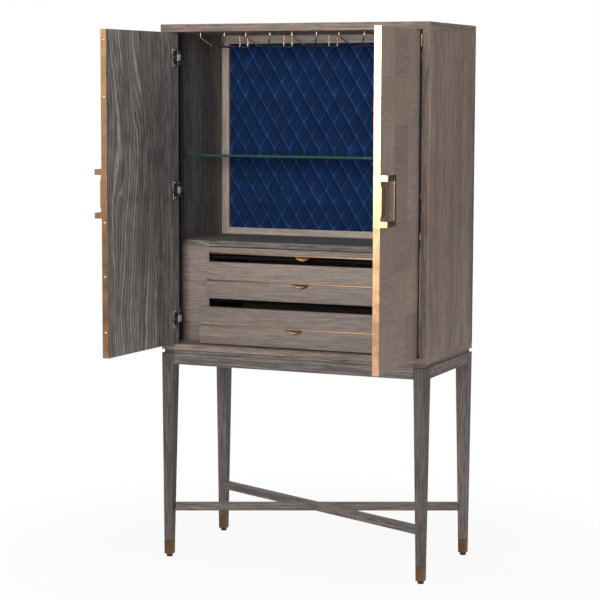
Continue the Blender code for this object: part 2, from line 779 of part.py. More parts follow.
def build_drawer(name, level, out):
    """Drawer: open box on the ledges, front with a brass inlay and its half-moon pull."""
    slide = make_empty(f"{name}_slide", (0.0, case_front - out, level), datum)
    box_half = opening_half - BOX_SIDE_GAP
    box_y = (FRONT_THICKNESS + FIT, FRONT_THICKNESS + FIT + box_depth)
    box_z = (BOX_RAISE, BOX_RAISE + BOX_HEIGHT)
    box = block(f"{name}_box", (-box_half, box_half), box_y, box_z, "birch", slide)
    hollow_x = (-box_half + BOX_WALL, box_half - BOX_WALL)
    hollow_y = (box_y[0] + BOX_WALL, box_y[1] - BOX_WALL)
    hollow_z = (BOX_RAISE + BOX_WALL, BOX_RAISE + BOX_HEIGHT + CUT_OVERRUN)
    cut(box, block(f"{name}_hollow", hollow_x, hollow_y, hollow_z, parent=slide))
    front_x = (-front_half, front_half)
    front = block(f"{name}_front", front_x, (0.0, FRONT_THICKNESS), (0.0, FRONT_HEIGHT), "front", slide)
    centre = FRONT_HEIGHT * INLAY_CENTRE_SHARE
    groove_x = (-front_half - CUT_OVERRUN, front_half + CUT_OVERRUN)
    groove_z = (centre - INLAY_HEIGHT / 2 - FIT, centre + INLAY_HEIGHT / 2 + FIT)
    cut(front, block(f"{name}_groove", groove_x, (-CUT_OVERRUN, INLAY_DEPTH + FIT), groove_z, parent=slide))
    inlay_z = (centre - INLAY_HEIGHT / 2, centre + INLAY_HEIGHT / 2)
    inlay = block(f"{name}_inlay", front_x, (-INLAY_PROUD, INLAY_DEPTH), inlay_z, "brass", slide)
    join(inlay, half_moon(f"{name}_pull", inlay_z[1] - FIT, (-PULL_PROUD, -FIT), slide))


def build_tray():
    """Serving board that slides out under the deck, with a brass lower edge and a half-moon pull."""
    slide = make_empty("tray_slide", (0.0, case_front - TRAY_OUT, tray_level), datum)
    front_x = (-front_half, front_half)
    board = block("tray_board", front_x, (0.0, tray_depth), (0.0, TRAY_THICKNESS), "front", slide)
    rebate_x = (-front_half - CUT_OVERRUN, front_half + CUT_OVERRUN)
    rebate_y = (-CUT_OVERRUN, TRAY_EDGE_DEPTH + FIT)
    rebate_z = (-CUT_OVERRUN, TRAY_EDGE_HEIGHT + FIT)
    cut(board, block("tray_rebate", rebate_x, rebate_y, rebate_z, parent=slide))
    edge_y = (-INLAY_PROUD, TRAY_EDGE_DEPTH)
    edge = block("tray_edge", front_x, edge_y, (0.0, TRAY_EDGE_HEIGHT), "brass", slide)
    join(edge, half_moon("tray_pull", TRAY_EDGE_HEIGHT - FIT, (-PULL_PROUD, -FIT), slide))


def build_handle(name, side, hinge_line):
    """Folded brass pull: edge plate, two ears, a C-shaped grip plate and a guard between the ears."""
    level = carcase_bottom + HANDLE_LEVEL
    low, high = level - HANDLE_HEIGHT / 2, level + HANDLE_HEIGHT / 2
    front = -free_edge - FIT - HANDLE_EDGE_PLATE
    tip = outer_face - HANDLE_REACH
    plate_x = mirrored(side, (front, front + HANDLE_EDGE_PLATE))
    plate_y = (outer_face - FIT - HANDLE_EDGE_PLATE, inner_face)
    handle = block(name, plate_x, plate_y, (low, high), "brass", hinge_line)
    ear_x = mirrored(side, (front + FIT, front + HANDLE_SHEET))
    ear_y = (tip + FIT, outer_face - FIT)
    for ear, ear_low in (("low_ear", low), ("high_ear", high - HANDLE_ARM)):
        ear_z = (ear_low + FIT, ear_low + HANDLE_ARM - FIT)
        join(handle, block(f"{name}_{ear}", ear_x, ear_y, ear_z, parent=hinge_line))
    far = front + HANDLE_LENGTH
    grip = far - GRIP_WIDTH
    inner = HANDLE_HEIGHT / 2 - HANDLE_ARM
    outer = HANDLE_HEIGHT / 2
    upper_half = [
        (front, inner), (front, outer), (far - HANDLE_CORNER, outer), (far, outer - HANDLE_CORNER),
    ]
    lower_half = [(across, -along) for across, along in reversed(upper_half)]
    points = upper_half + lower_half + [(grip, -inner), (grip, inner)]
    points = [(side * across, along) for across, along in points]
    location = (0.0, tip + HANDLE_SHEET / 2, level)
    turn = (math.radians(90.0), 0.0, 0.0)
    join(handle, outline(f"{name}_grip", points, HANDLE_SHEET, location, turn, parent=hinge_line))
    guard_face = outer_face - FIT - GUARD_THICKNESS
    profile = [
        (outer_face - FIT, -GUARD_HEIGHT / 2), (outer_face - FIT, GUARD_HEIGHT / 2),
        (guard_face, GUARD_HEIGHT / 2 - GUARD_CHAMFER), (guard_face, GUARD_CHAMFER - GUARD_HEIGHT / 2),
    ]
    location = (side * (front + FIT + GUARD_WIDTH / 2), 0.0, level)
    turn = (math.radians(90.0), 0.0, math.radians(90.0))
    join(handle, outline(f"{name}_guard", profile, GUARD_WIDTH, location, turn, parent=hinge_line))


def build_hinge_cup(name, side, level, hinge_line):
    """Hinge cup with its flange, let into the door's inner face."""
    centre = (side * cup_centre, level)
    flange_y = (inner_face + FIT, inner_face + FIT + FLANGE_THICKNESS)
    flange_x = (centre[0] - FLANGE_WIDTH / 2, centre[0] + FLANGE_WIDTH / 2)
    flange_z = (level - FLANGE_LENGTH / 2, level + FLANGE_LENGTH / 2)
    plate_y = (flange_y[0] + FIT / 2, flange_y[1] - FIT / 2)
    cup = block(name, flange_x, plate_y, flange_z, "nickel", hinge_line)
    join(cup, disc(f"{name}_rim", FLANGE_RADIUS, centre, y_pair=flange_y, parent=hinge_line))
    bowl_y = (inner_face - CUP_DEPTH, inner_face + FIT + FLANGE_THICKNESS / 2)
    join(cup, disc(f"{name}_bowl", CUP_RADIUS, centre, y_pair=bowl_y, parent=hinge_line))
    hollow_y = (inner_face - CUP_DEPTH + CUP_FLOOR, inner_face + CUT_OVERRUN)
    cut(cup, disc(f"{name}_hollow", CUP_RADIUS - CUP_WALL, centre, y_pair=hollow_y, parent=hinge_line))


def build_hinge_arm(name, side, level):
    """Arm on the side panel: its bent end lies in the cup when shut and meets the cup's rim when open."""
    wall = PIVOT_FROM_EDGE + DOOR_SIDE_GAP - FIT
    rim_x = cup_centre + FLANGE_RADIUS
    rim_y = inner_face + FIT + FLANGE_THICKNESS
    stop = rim_x * math.cos(DOOR_LIMIT) - rim_y * math.sin(DOOR_LIMIT) - FIT
    tip = inner_face - CUP_DEPTH + CUP_FLOOR + ARM_TIP_GAP
    crossing = math.hypot(PIVOT_FROM_EDGE, inner_face) + ARM_SWEEP_GAP
    far = crossing + ARM_BODY_LENGTH
    points = [
        (stop - ARM_SHEET, tip), (stop, tip), (stop, crossing), (wall, crossing), (wall, far),
        (wall - ARM_BODY_THICKNESS / 2, far), (wall - ARM_BODY_THICKNESS, far - ARM_BODY_THICKNESS),
        (wall - ARM_BODY_THICKNESS, crossing + ARM_SHEET), (stop - ARM_SHEET, crossing + ARM_SHEET),
    ]
    points = [(side * (pivot_x + across), pivot_y + along) for across, along in points]
    arm = outline(name, points, ARM_HEIGHT, (0.0, 0.0, level), (0.0, 0.0, 0.0), "nickel")
    plate_x = mirrored(side, (pivot_x + wall, pivot_x + wall - ARM_SHEET))
    plate_y = (pivot_y + far - ARM_PLATE_LENGTH, pivot_y + far - ARM_BODY_THICKNESS)
    plate_z = (level - ARM_PLATE_HEIGHT / 2, level + ARM_PLATE_HEIGHT / 2)
    join(arm, block(f"{name}_plate", plate_x, plate_y, plate_z))


def build_door(name, side, angle):
    """Inset door on its hinge line, turned open: leaf, brass edge strip, pull and hinge cups."""
    hinge_line = make_empty(f"{name}_hinge_line", (side * pivot_x, pivot_y, 0.0), datum, side * angle)
    faces = (outer_face, inner_face)
    levels = (door_low, door_high)
    leaf_x = mirrored(side, (-free_edge + STRIP_THICKNESS + FIT, PIVOT_FROM_EDGE))
    leaf = block(f"{name}_leaf", leaf_x, faces, levels, "outer", hinge_line)
    for number, level in enumerate(hinge_levels):
        bore_y = (inner_face - CUP_DEPTH - FIT, inner_face + CUT_OVERRUN)
        centre = (side * cup_centre, level)
        bore_name = f"{name}_bore_{number + 1}"
        cut(leaf, disc(bore_name, CUP_RADIUS + FIT, centre, y_pair=bore_y, parent=hinge_line))
        build_hinge_cup(f"{name}_cup_{number + 1}", side, level, hinge_line)
        build_hinge_arm(f"{name}_arm_{number + 1}", side, level)
    strip_x = mirrored(side, (-free_edge, -free_edge + STRIP_THICKNESS))
    block(f"{name}_edge_strip", strip_x, faces, levels, "brass", hinge_line)
    build_handle(f"{name}_handle", side, hinge_line)


build_stand()
build_carcase()
build_back_frame()
build_quilt()
build_shelf()
build_rack()
build_case()
build_tray()
build_drawer("upper_drawer", upper_front_level, UPPER_DRAWER_OUT)
build_drawer("lower_drawer", lower_front_level, LOWER_DRAWER_OUT)
build_door("left_door", -1, LEFT_DOOR_OPEN)
build_door("right_door", 1, RIGHT_DOOR_OPEN)
print(f"origin {datum_y:.5f} m in front of the carcase's centre")
print(f"hinge lines at x {pivot_x:.5f}, y {pivot_y + datum_y:.5f}")
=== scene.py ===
import json
import math

import bmesh
import bpy
import numpy as np
from mathutils import Matrix, Vector

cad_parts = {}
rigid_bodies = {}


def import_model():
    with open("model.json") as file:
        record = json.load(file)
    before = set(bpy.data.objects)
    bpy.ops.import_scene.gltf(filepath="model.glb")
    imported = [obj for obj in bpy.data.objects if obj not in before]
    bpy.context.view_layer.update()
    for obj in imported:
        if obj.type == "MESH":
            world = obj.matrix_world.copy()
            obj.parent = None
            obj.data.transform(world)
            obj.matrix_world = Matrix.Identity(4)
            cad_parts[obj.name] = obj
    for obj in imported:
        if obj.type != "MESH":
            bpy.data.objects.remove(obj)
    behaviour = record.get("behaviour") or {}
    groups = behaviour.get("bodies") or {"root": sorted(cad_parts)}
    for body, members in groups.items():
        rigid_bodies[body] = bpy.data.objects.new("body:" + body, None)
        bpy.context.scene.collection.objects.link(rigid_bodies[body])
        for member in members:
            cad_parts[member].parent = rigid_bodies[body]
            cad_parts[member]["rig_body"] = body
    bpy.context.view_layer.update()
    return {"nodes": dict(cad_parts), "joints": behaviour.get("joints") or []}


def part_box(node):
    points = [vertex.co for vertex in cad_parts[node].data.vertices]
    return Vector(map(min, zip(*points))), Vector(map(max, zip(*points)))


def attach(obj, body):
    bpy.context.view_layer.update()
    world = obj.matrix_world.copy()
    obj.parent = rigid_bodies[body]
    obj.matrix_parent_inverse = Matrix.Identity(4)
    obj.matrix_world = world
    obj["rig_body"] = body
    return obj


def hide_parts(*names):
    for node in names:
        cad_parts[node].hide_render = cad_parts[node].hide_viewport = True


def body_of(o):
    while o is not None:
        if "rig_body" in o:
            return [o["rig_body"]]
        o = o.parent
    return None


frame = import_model()
nodes = frame["nodes"]
joints = {joint["name"]: joint for joint in frame["joints"]}
print("frame loaded:", len(nodes), "nodes")


# camera, in metres and degrees

cameraSetup = {
    "place": (2.3914, -5.4791, 1.5082),
    "turn": 23.356,        # towards the left of straight ahead
    "tilt": -6.208,        # below the horizon
    "roll": 0.188,
    "focalPixels": 1926.85,
    "imagePixels": 600.0,
    "sensor": 36.0,
    "clipEnd": 60.0,
}


def addObject(name, data):
    made = bpy.data.objects.new(name, data)
    bpy.context.scene.collection.objects.link(made)
    return made


def addCamera(setup):
    lens = bpy.data.cameras.new("camera")
    lens.sensor_width = setup["sensor"]
    lens.lens = setup["focalPixels"] / setup["imagePixels"] * setup["sensor"]
    lens.clip_end = setup["clipEnd"]
    camera = addObject("camera", lens)
    turn = Matrix.Rotation(math.radians(setup["turn"]), 4, "Z")
    tilt = Matrix.Rotation(math.radians(90.0 + setup["tilt"]), 4, "X")
    roll = Matrix.Rotation(math.radians(setup["roll"]), 4, "Z")
    camera.matrix_world = Matrix.Translation(setup["place"]) @ turn @ tilt @ roll
    bpy.context.scene.camera = camera


# small helpers for node trees: what goes in is plain, or a socket to link

finishes = {}
noShift = (0.0, 0.0, 0.0)
noiseSpan = (0.3, 0.7)      # most of a noise lies between these
mixSockets = {"FLOAT": (2, 3, 0), "VECTOR": (4, 5, 1), "RGBA": (6, 7, 2)}


def setInputs(tree, node, inputs):
    for key, value in inputs.items():
        socket = node.inputs[key]
        if isinstance(value, bpy.types.NodeSocket):
            tree.links.new(value, socket)
        else:
            socket.default_value = (*value, 1.0) if socket.type == "RGBA" else value


def addNode(tree, kind, inputs, **settings):
    made = tree.nodes.new("ShaderNode" + kind)
    for name, value in settings.items():
        setattr(made, name, value)
    setInputs(tree, made, inputs)
    return made.outputs


def maths(tree, operation, *values):
    return addNode(tree, "Math", dict(enumerate(values)), operation=operation)[0]


def times(tree, first, second):
    return maths(tree, "MULTIPLY", first, second)


def axes(tree, place):
    return addNode(tree, "SeparateXYZ", {0: place})


def noise(tree, place, stretch, detail=2.0, roughness=0.5):
    # noise of the place, stretched by a factor along each axis
    mapped = addNode(tree, "Mapping", {"Vector": place, "Scale": stretch})[0]
    settings = {"Vector": mapped, "Scale": 1.0, "Detail": detail, "Roughness": roughness}
    return addNode(tree, "TexNoise", settings)[0]


def rangeOf(tree, value, low, high, newLow=0.0, newHigh=1.0, kind="LINEAR"):
    settings = {"Value": value, "From Min": low, "From Max": high, "To Min": newLow, "To Max": newHigh}
    return addNode(tree, "MapRange", settings, interpolation_type=kind)[0]


def nearTo(tree, value, at, reach, share=1.0):
    # the share near a place, falling to 0 between the two distances of reach
    away = maths(tree, "ABSOLUTE", maths(tree, "SUBTRACT", value, at))
    return rangeOf(tree, away, *reach, 0.0, share)


def blend(tree, share, first, second, kind="RGBA"):
    low, high, out = mixSockets[kind]
    return addNode(tree, "Mix", {0: share, low: first, high: second}, data_type=kind)[out]


def scaled(tree, colour, factor):
    return addNode(tree, "VectorMath", {0: colour, "Scale": factor}, operation="SCALE")[0]


def dimmed(colour, share):
    return tuple(value * share for value in colour)


def turned(tree, source, turn=noShift, shift=noShift, slant=0.0):
    # a place slanted about Z and shifted, then turned
    settings = {"Vector": source, "Location": shift, "Rotation": (0.0, 0.0, slant)}
    return addNode(tree, "Mapping", {"Vector": addNode(tree, "Mapping", settings)[0], "Rotation": turn})[0]


def addBump(tree, shader, height, strength, distance, invert=False):
    settings = {"Strength": strength, "Distance": distance, "Height": height}
    setInputs(tree, shader, {"Normal": addNode(tree, "Bump", settings, invert=invert)[0]})


def newMaterial(name):
    # every material is kept in finishes under its name
    made = bpy.data.materials.new(name)
    made.use_nodes = True
    finishes[name] = made
    tree = made.node_tree
    return tree, tree.nodes["Principled BSDF"], addNode(tree, "TexCoord", {})["Object"]


# wood: a middle tone, how far streaks leave it, limed veins and their share, and the size of the figure

woodKeys = ("tone", "spread", "vein", "veinShare", "figure", "rings", "rough", "gloss")
woodRows = {
    "outer": ((0.214, 0.158, 0.127), 0.30, (0.33, 0.26, 0.215), 0.30, 6.0, 14.0, 0.52, 0.28),
    "block": ((0.250, 0.190, 0.153), 0.13, (0.32, 0.255, 0.21), 0.14, 4.0, 18.0, 0.52, 0.28),
    "inner": ((0.128, 0.117, 0.109), 0.46, (0.47, 0.435, 0.395), 0.66, 9.0, 27.0, 0.50, 0.28),
    "case": ((0.136, 0.121, 0.109), 0.42, (0.34, 0.31, 0.28), 0.58, 9.0, 26.0, 0.50, 0.28),
    "front": ((0.235, 0.187, 0.163), 0.17, (0.40, 0.33, 0.29), 0.30, 7.0, 20.0, 0.50, 0.28),
    # the frame's light tone is partly its own and partly painted light, raised against the dim inside
    "frame": ((0.47, 0.395, 0.345), 0.18, (0.56, 0.49, 0.44), 0.15, 3.0, 24.0, 0.50, 0.28),
    "stand": ((0.138, 0.114, 0.102), 0.38, (0.32, 0.285, 0.26), 0.38, 4.0, 36.0, 0.55, 0.28),
    # painted shade: the drawer boxes' wood is kept very dark, as they sit in the shade behind the fronts
    "birch": ((0.050, 0.038, 0.028), 0.20, (0.08, 0.062, 0.046), 0.15, 2.0, 14.0, 0.62, 0.12),
    # painted shade: near-black wood for the rails, which stand in the shade of the gaps between the fronts
    "gap_shade_dark": ((0.011, 0.010, 0.009), 0.30, (0.02, 0.018, 0.016), 0.3, 4.0, 16.0, 0.70, 0.06),
}
woods = {name: dict(zip(woodKeys, row)) for name, row in woodRows.items()}

# turns that bring a piece's grain direction to the pattern's Z
grainTurns = {
    "x": (0.0, math.radians(-90.0), 0.0),
    "y": (math.radians(90.0), 0.0, 0.0),
    "z": (0.0, 0.0, 0.0),
}

# stretch, detail and roughness of each noise in the grain
grainNoises = {
    "wander": ((3.4, 3.4, 0.95), 1.5),
    "wiggle": ((30.0, 30.0, 8.0),),
    "streaks": ((135.0, 135.0, 7.5), 2.0, 0.6),
    "lines": ((290.0, 290.0, 15.0), 1.0, 0.6),
    "pores": ((620.0, 620.0, 26.0), 2.0, 0.6),
    "broad": ((13.0, 13.0, 1.2),),
}
grain = {
    "wiggle": 0.32,
    "vein": (0.105, 0.03),      # distance from a whole number where a vein begins and where it is full
    "fineTimes": 3.0,
    "fineVein": (0.21, 0.05, 0.0, 0.55),
    "broken": (0.28, 0.46),
    "patchy": (0.42, 0.54, 0.40, 1.0),
    "toneShares": {"streaks": 0.40, "broad": 0.24, "lines": 0.36},
    "toneSpan": (0.435, 0.565),
    "poreShare": (0.54, 0.64, 0.0, 0.45),
    "poreTone": 0.40,
    "poreRough": (-0.05, 0.12),
    "bump": (0.3, 0.0004),
    "seamTone": 0.3,
    "seamReach": (0.0012, 0.0004),
    "seamShare": 0.6,
    "regionShift": (0.37, 0.21, 0.53),
}


def woodColour(tree, place, name):
    # tone: fine streaks and broad bands of noise drawn out along Z
    # veins: narrow bands where across * rings + wander * figure passes a whole number, and finer ones between
    wood = woods[name]
    made = {layer: noise(tree, place, *settings) for layer, settings in grainNoises.items()}
    across = maths(tree, "ADD", *axes(tree, place)[:2])
    field = maths(tree, "MULTIPLY_ADD", across, wood["rings"], times(tree, made["wander"], wood["figure"]))
    field = maths(tree, "MULTIPLY_ADD", made["wiggle"], grain["wiggle"], field)
    vein = rangeOf(tree, maths(tree, "PINGPONG", field, 0.5), *grain["vein"], kind="SMOOTHSTEP")
    fine = maths(tree, "PINGPONG", times(tree, field, grain["fineTimes"]), 0.5)
    fine = rangeOf(tree, fine, *grain["fineVein"], kind="SMOOTHSTEP")
    vein = times(tree, maths(tree, "MAXIMUM", vein, fine), rangeOf(tree, made["lines"], *grain["broken"]))
    vein = times(tree, vein, rangeOf(tree, made["broad"], *grain["patchy"]))
    tone = 0.0
    for layer, share in grain["toneShares"].items():
        tone = maths(tree, "MULTIPLY_ADD", made[layer], share, tone)
    level = rangeOf(tree, tone, *grain["toneSpan"], 1.0 - wood["spread"], 1.0 + wood["spread"])
    colour = scaled(tree, wood["tone"], level)
    colour = blend(tree, times(tree, vein, wood["veinShare"]), colour, wood["vein"])
    share = rangeOf(tree, made["pores"], *grain["poreShare"])
    return blend(tree, share, colour, dimmed(wood["tone"], grain["poreTone"])), made["pores"]


def finishWood(tree, shader, colour, pores, name):
    low, high = (woods[name]["rough"] + change for change in grain["poreRough"])
    rough = rangeOf(tree, pores, *noiseSpan, low, high)
    setInputs(tree, shader, {"Base Color": colour, "Roughness": rough, "Specular IOR Level": woods[name]["gloss"]})
    addBump(tree, shader, pores, *grain["bump"], invert=True)


def finishPair(tree, shader, share, first, second, name):
    # first and second: colour and pores of two woods in one material
    colour = blend(tree, share, first[0], second[0])
    finishWood(tree, shader, colour, blend(tree, share, first[1], second[1], "FLOAT"), name)


def woodMaterial(name, wood, along, shift=noShift, regions=(), seams=(), slant=0.0):
    # regions: boxes of the piece with their own grain direction and level; seams: fine dark joint lines
    tree, shader, source = newMaterial(name)
    sides = axes(tree, source)
    place = turned(tree, source, grainTurns[along], shift, slant)
    level = 1.0
    for axis, low, high, regionAlong, regionLevel in regions:
        above = maths(tree, "GREATER_THAN", sides[axis.upper()], low)
        inside = times(tree, above, maths(tree, "LESS_THAN", sides[axis.upper()], high))
        other = turned(tree, source, grainTurns[regionAlong], grain["regionShift"])
        place = blend(tree, inside, place, other, "VECTOR")
        level = blend(tree, inside, level, regionLevel, "FLOAT")
    colour, pores = woodColour(tree, place, wood)
    if regions:
        colour = scaled(tree, colour, level)
    for axis, at in seams:
        share = nearTo(tree, sides[axis.upper()], at, grain["seamReach"], grain["seamShare"])
        colour = blend(tree, share, colour, dimmed(woods[wood]["tone"], grain["seamTone"]))
    finishWood(tree, shader, colour, pores, wood)


# doors: long veneer inside, squares of veneer outside, in the closed door's own axes

doorVeneer = {
    "across": 3,
    "rows": 7,
    "tones": 0.36,
    "seam": 0.0016,
    "seamShare": 0.6,
    "seamTone": 0.4,
    "innerFrom": 0.004,
    # painted highlight along the inside's edge beside the hinges
    "edgeHighlight": (0.0045, 0.0030),      # the light edge of the inside beside the hinges
    "edgeHighlightShare": 0.45,
}
doors = {}
for name, side in (("left_door", -1), ("right_door", 1)):
    hinge = joints[name + "_hinge"]
    angle = math.radians(side * -hinge["range_deg"][0])     # from closed to rest
    cosine = math.cos(angle)
    sine = math.sin(angle)
    doors[name] = {
        "side": side,
        "hinge": np.array([*hinge["pos_m"][:2], 0.0]),
        "angle": angle,
        "turn": np.array([[cosine, -sine, 0.0], [sine, cosine, 0.0], [0.0, 0.0, 1.0]]),
    }


def toRest(points, door):
    # places on a door are worked out closed, and turned here to where the door rests
    return points @ door["turn"].T + door["hinge"]


def closedBox(node, door):
    mesh = nodes[node].data
    points = np.zeros(len(mesh.vertices) * 3, np.float32)
    mesh.vertices.foreach_get("co", points)
    closed = (points.reshape(-1, 3) - door["hinge"]) @ door["turn"]
    return closed.min(axis=0), closed.max(axis=0)


def closedPlace(tree, source, door):
    return turned(tree, source, (0.0, 0.0, -door["angle"]), tuple(-door["hinge"]))


def doorMaterial(name, door, setup):
    tree, shader, source = newMaterial(name + "_veneer")
    low, high = closedBox(name + "_leaf", door)
    width, _, tall = (high - low) / (setup["across"], 1, setup["rows"])
    local = closedPlace(tree, source, door)
    across, depth, height = axes(tree, local)
    innerColour, innerPores = woodColour(tree, local, "inner")
    # a square is the whole number of its column and of its row; every other one has level grain
    numbers = []
    edges = []
    for value, start, size in ((across, low[0], width), (height, low[2], tall)):
        count = maths(tree, "DIVIDE", maths(tree, "SUBTRACT", value, start), size)
        numbers.append(maths(tree, "FLOOR", count))
        edges.append(times(tree, maths(tree, "PINGPONG", count, 0.5), size))
    square = addNode(tree, "CombineXYZ", dict(enumerate(numbers)))[0]
    random = addNode(tree, "TexWhiteNoise", {"Vector": square}, noise_dimensions="3D")
    shifted = addNode(tree, "VectorMath", {0: local, 1: random["Color"]}, operation="ADD")[0]
    isLevel = maths(tree, "PINGPONG", maths(tree, "ADD", *numbers), 1.0)
    place = blend(tree, isLevel, shifted, turned(tree, shifted, grainTurns["x"]), "VECTOR")
    outer, outerPores = woodColour(tree, place, "block")
    half = setup["tones"] / 2
    outer = scaled(tree, outer, rangeOf(tree, random["Value"], 0.0, 1.0, 1.0 - half, 1.0 + half))
    seamShare = rangeOf(tree, maths(tree, "MINIMUM", *edges), setup["seam"], 0.0, 0.0, setup["seamShare"])
    outer = blend(tree, seamShare, outer, dimmed(woods["block"]["tone"], setup["seamTone"]))
    isInner = maths(tree, "GREATER_THAN", depth, setup["innerFrom"])
    hingeEdge = high[0] if door["side"] > 0 else low[0]
    # painted highlight: a light line on the inside beside the hinge edge
    edgeHighlight = nearTo(tree, across, hingeEdge, setup["edgeHighlight"], setup["edgeHighlightShare"])
    inner = blend(tree, edgeHighlight, innerColour, woods["inner"]["vein"])
    finishPair(tree, shader, isInner, (outer, outerPores), (inner, innerPores), "block")


# metal, glass and velvet

metals = {
    "brass_polished": {"colour": (0.70, 0.405, 0.22), "rough": 0.17, "wear": 0.10, "metallic": 1.0},
    "brass_line": {"colour": (0.40, 0.245, 0.145), "rough": 0.30, "wear": 0.12, "metallic": 1.0},
    "rack_brass": {"colour": (0.72, 0.52, 0.34), "rough": 0.20, "wear": 0.10, "metallic": 1.0},
    "foot_bronze": {"colour": (0.138, 0.080, 0.042), "rough": 0.42, "wear": 0.12, "metallic": 1.0},
    "hinge_nickel": {"colour": (0.72, 0.72, 0.71), "rough": 0.30, "wear": 0.10, "metallic": 0.55},
}
metalFinish = {
    "cloud": (30.0, 30.0, 30.0),
    "cloudSpan": (0.35, 0.65),
    "tarnish": 0.80,
    "brush": (900.0, 900.0, 40.0),
    "bump": (0.08, 0.0001),
    "rubber": (0.012, 0.012, 0.012),
    "rubberRough": 0.7,
    # cloudiness and darkest tone of the painted shade on brass
    "shadeCloud": (160.0, 160.0, 160.0),
    "shadeLeast": 0.85,
    "shadeTone": 0.10,
}


def metalMaterial(name, setup, blackBelow=None):
    # cloudy tarnish and fine brushing; below a level a foot is its black rubber glide
    tree, shader, source = newMaterial(name)
    metal = metals[name]
    metallic = metal["metallic"]
    cloudy = noise(tree, source, setup["cloud"], 3.0)
    brushed = noise(tree, source, setup["brush"])
    tarnished = dimmed(metal["colour"], setup["tarnish"])
    colour = blend(tree, rangeOf(tree, cloudy, *setup["cloudSpan"]), tarnished, metal["colour"])
    worn = times(tree, maths(tree, "ADD", brushed, cloudy), 0.5)
    rough = rangeOf(tree, worn, *noiseSpan, metal["rough"], metal["rough"] + metal["wear"])
    if blackBelow is not None:
        metallic = maths(tree, "GREATER_THAN", axes(tree, source)[2], blackBelow)
        colour = blend(tree, metallic, setup["rubber"], colour)
        rough = blend(tree, metallic, setup["rubberRough"], rough, "FLOAT")
    setInputs(tree, shader, {"Base Color": colour, "Roughness": rough, "Metallic": metallic})
    addBump(tree, shader, brushed, *setup["bump"])


def brassWithPaintedShade(name, metal, setup):
    # brass darkened by painted shade, from an attribute of the piece, 0 bright to 1 dark
    tree, shader, source = newMaterial(name)
    paintedShade = addNode(tree, "Attribute", {}, attribute_name="paintedShade")["Fac"]
    cloudy = noise(tree, source, setup["shadeCloud"], 3.0)
    share = times(tree, paintedShade, rangeOf(tree, cloudy, *noiseSpan, setup["shadeLeast"], 1.0))
    colour = blend(tree, share, metal["colour"], dimmed(metal["colour"], setup["shadeTone"]))
    rough = rangeOf(tree, cloudy, *noiseSpan, metal["rough"], metal["rough"] + metal["wear"])
    setInputs(tree, shader, {"Base Color": colour, "Roughness": rough, "Metallic": metal["metallic"]})


hingeMetal = {
    # the painted highlight colour and the painted shade colour, then where the highlights are painted
    "bright": (0.80, 0.80, 0.79),
    "dark": (0.055, 0.055, 0.06),
    "cupEdge": (0.0038, 0.0030),      # bright strip of the flange, on the side away from the hinge line
    "cupEdgeIn": 0.0070,
    "bowl": (0.00775, 0.00675),       # bright middle of the cup
    "bowlIn": 0.006,
    "elbow": (0.016, 0.014),          # the arm is bright up to this depth
    "cloud": (60.0, 60.0, 60.0),
    "cloudTone": 0.85,
    "rough": (0.28, 0.38),
    "metallic": 0.55,
}


def hingeMaterial(name, setup, door=None):
    # painted highlights on the flange's outer edge, the cup's middle and the arm's elbow, painted shade elsewhere
    tree, shader, source = newMaterial(name + "_zinc")
    if door is None:
        bright = rangeOf(tree, axes(tree, source)[1], *setup["elbow"])
    else:
        side = door["side"]
        across, _, height = axes(tree, closedPlace(tree, source, door))
        level = 0.0
        for number in (1, 2, 3):
            low, high = closedBox(f"{name}_{number}", door)
            level = maths(tree, "MAXIMUM", level, nearTo(tree, height, (low[2] + high[2]) / 2, setup["bowl"]))
        low, high = closedBox(name + "_1", door)
        middle = (low[0] + high[0]) / 2 + side * setup["bowlIn"]
        bowl = times(tree, nearTo(tree, across, middle, setup["bowl"]), level)
        outerEdge = (low[0] if side > 0 else high[0]) + side * setup["cupEdgeIn"]
        bright = maths(tree, "MAXIMUM", nearTo(tree, across, outerEdge, setup["cupEdge"]), bowl)
    cloudy = noise(tree, source, setup["cloud"], 3.0)
    shade = rangeOf(tree, cloudy, *metalFinish["cloudSpan"], setup["cloudTone"], 1.0)
    colour = scaled(tree, blend(tree, bright, setup["dark"], setup["bright"]), shade)
    rough = rangeOf(tree, cloudy, *noiseSpan, *setup["rough"])
    setInputs(tree, shader, {"Base Color": colour, "Roughness": rough, "Metallic": setup["metallic"]})
    addBump(tree, shader, noise(tree, source, metalFinish["brush"]), *metalFinish["bump"])


glassSetup = {
    "clear": (0.86, 0.95, 0.93),
    "edge": (0.030, 0.135, 0.118),
    "edgeDepth": 0.0012,
    "edgePasses": 0.55,
    "smears": (14.0, 14.0, 14.0),
    "smearRough": (0.45, 0.8, 0.0, 0.04),
    "index": 1.5,
}


def glassMaterial(name, setup):
    tree, shader, source = newMaterial(name)
    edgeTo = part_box("glass_shelf")[0][1] + setup["edgeDepth"]
    isEdge = maths(tree, "LESS_THAN", axes(tree, source)[1], edgeTo)
    setInputs(tree, shader, {
        "Base Color": blend(tree, isEdge, setup["clear"], setup["edge"]),
        "Transmission Weight": rangeOf(tree, isEdge, 0.0, 1.0, 1.0, setup["edgePasses"]),
        "Roughness": rangeOf(tree, noise(tree, source, setup["smears"], 3.0), *setup["smearRough"]),
        "IOR": setup["index"],
    })


velvet = {
    # the painted shade, the plain colour and the painted light of the velvet
    "deep": (0.0035, 0.0100, 0.0300),
    "base": (0.0070, 0.0270, 0.0960),
    "lit": (0.0270, 0.1000, 0.3150),
    "cloud": (22.0, 22.0, 22.0),
    "cloudShare": 0.5,
    "pile": (1500.0, 1500.0, 1500.0),
    "pileTone": (0.8, 1.2),
    "rough": 0.8,
    "gloss": 0.1,
    "sheen": 0.10,
    "sheenRough": 0.4,
    "sheenTint": (0.10, 0.25, 0.70),
    "bump": (0.2, 0.0003),
}


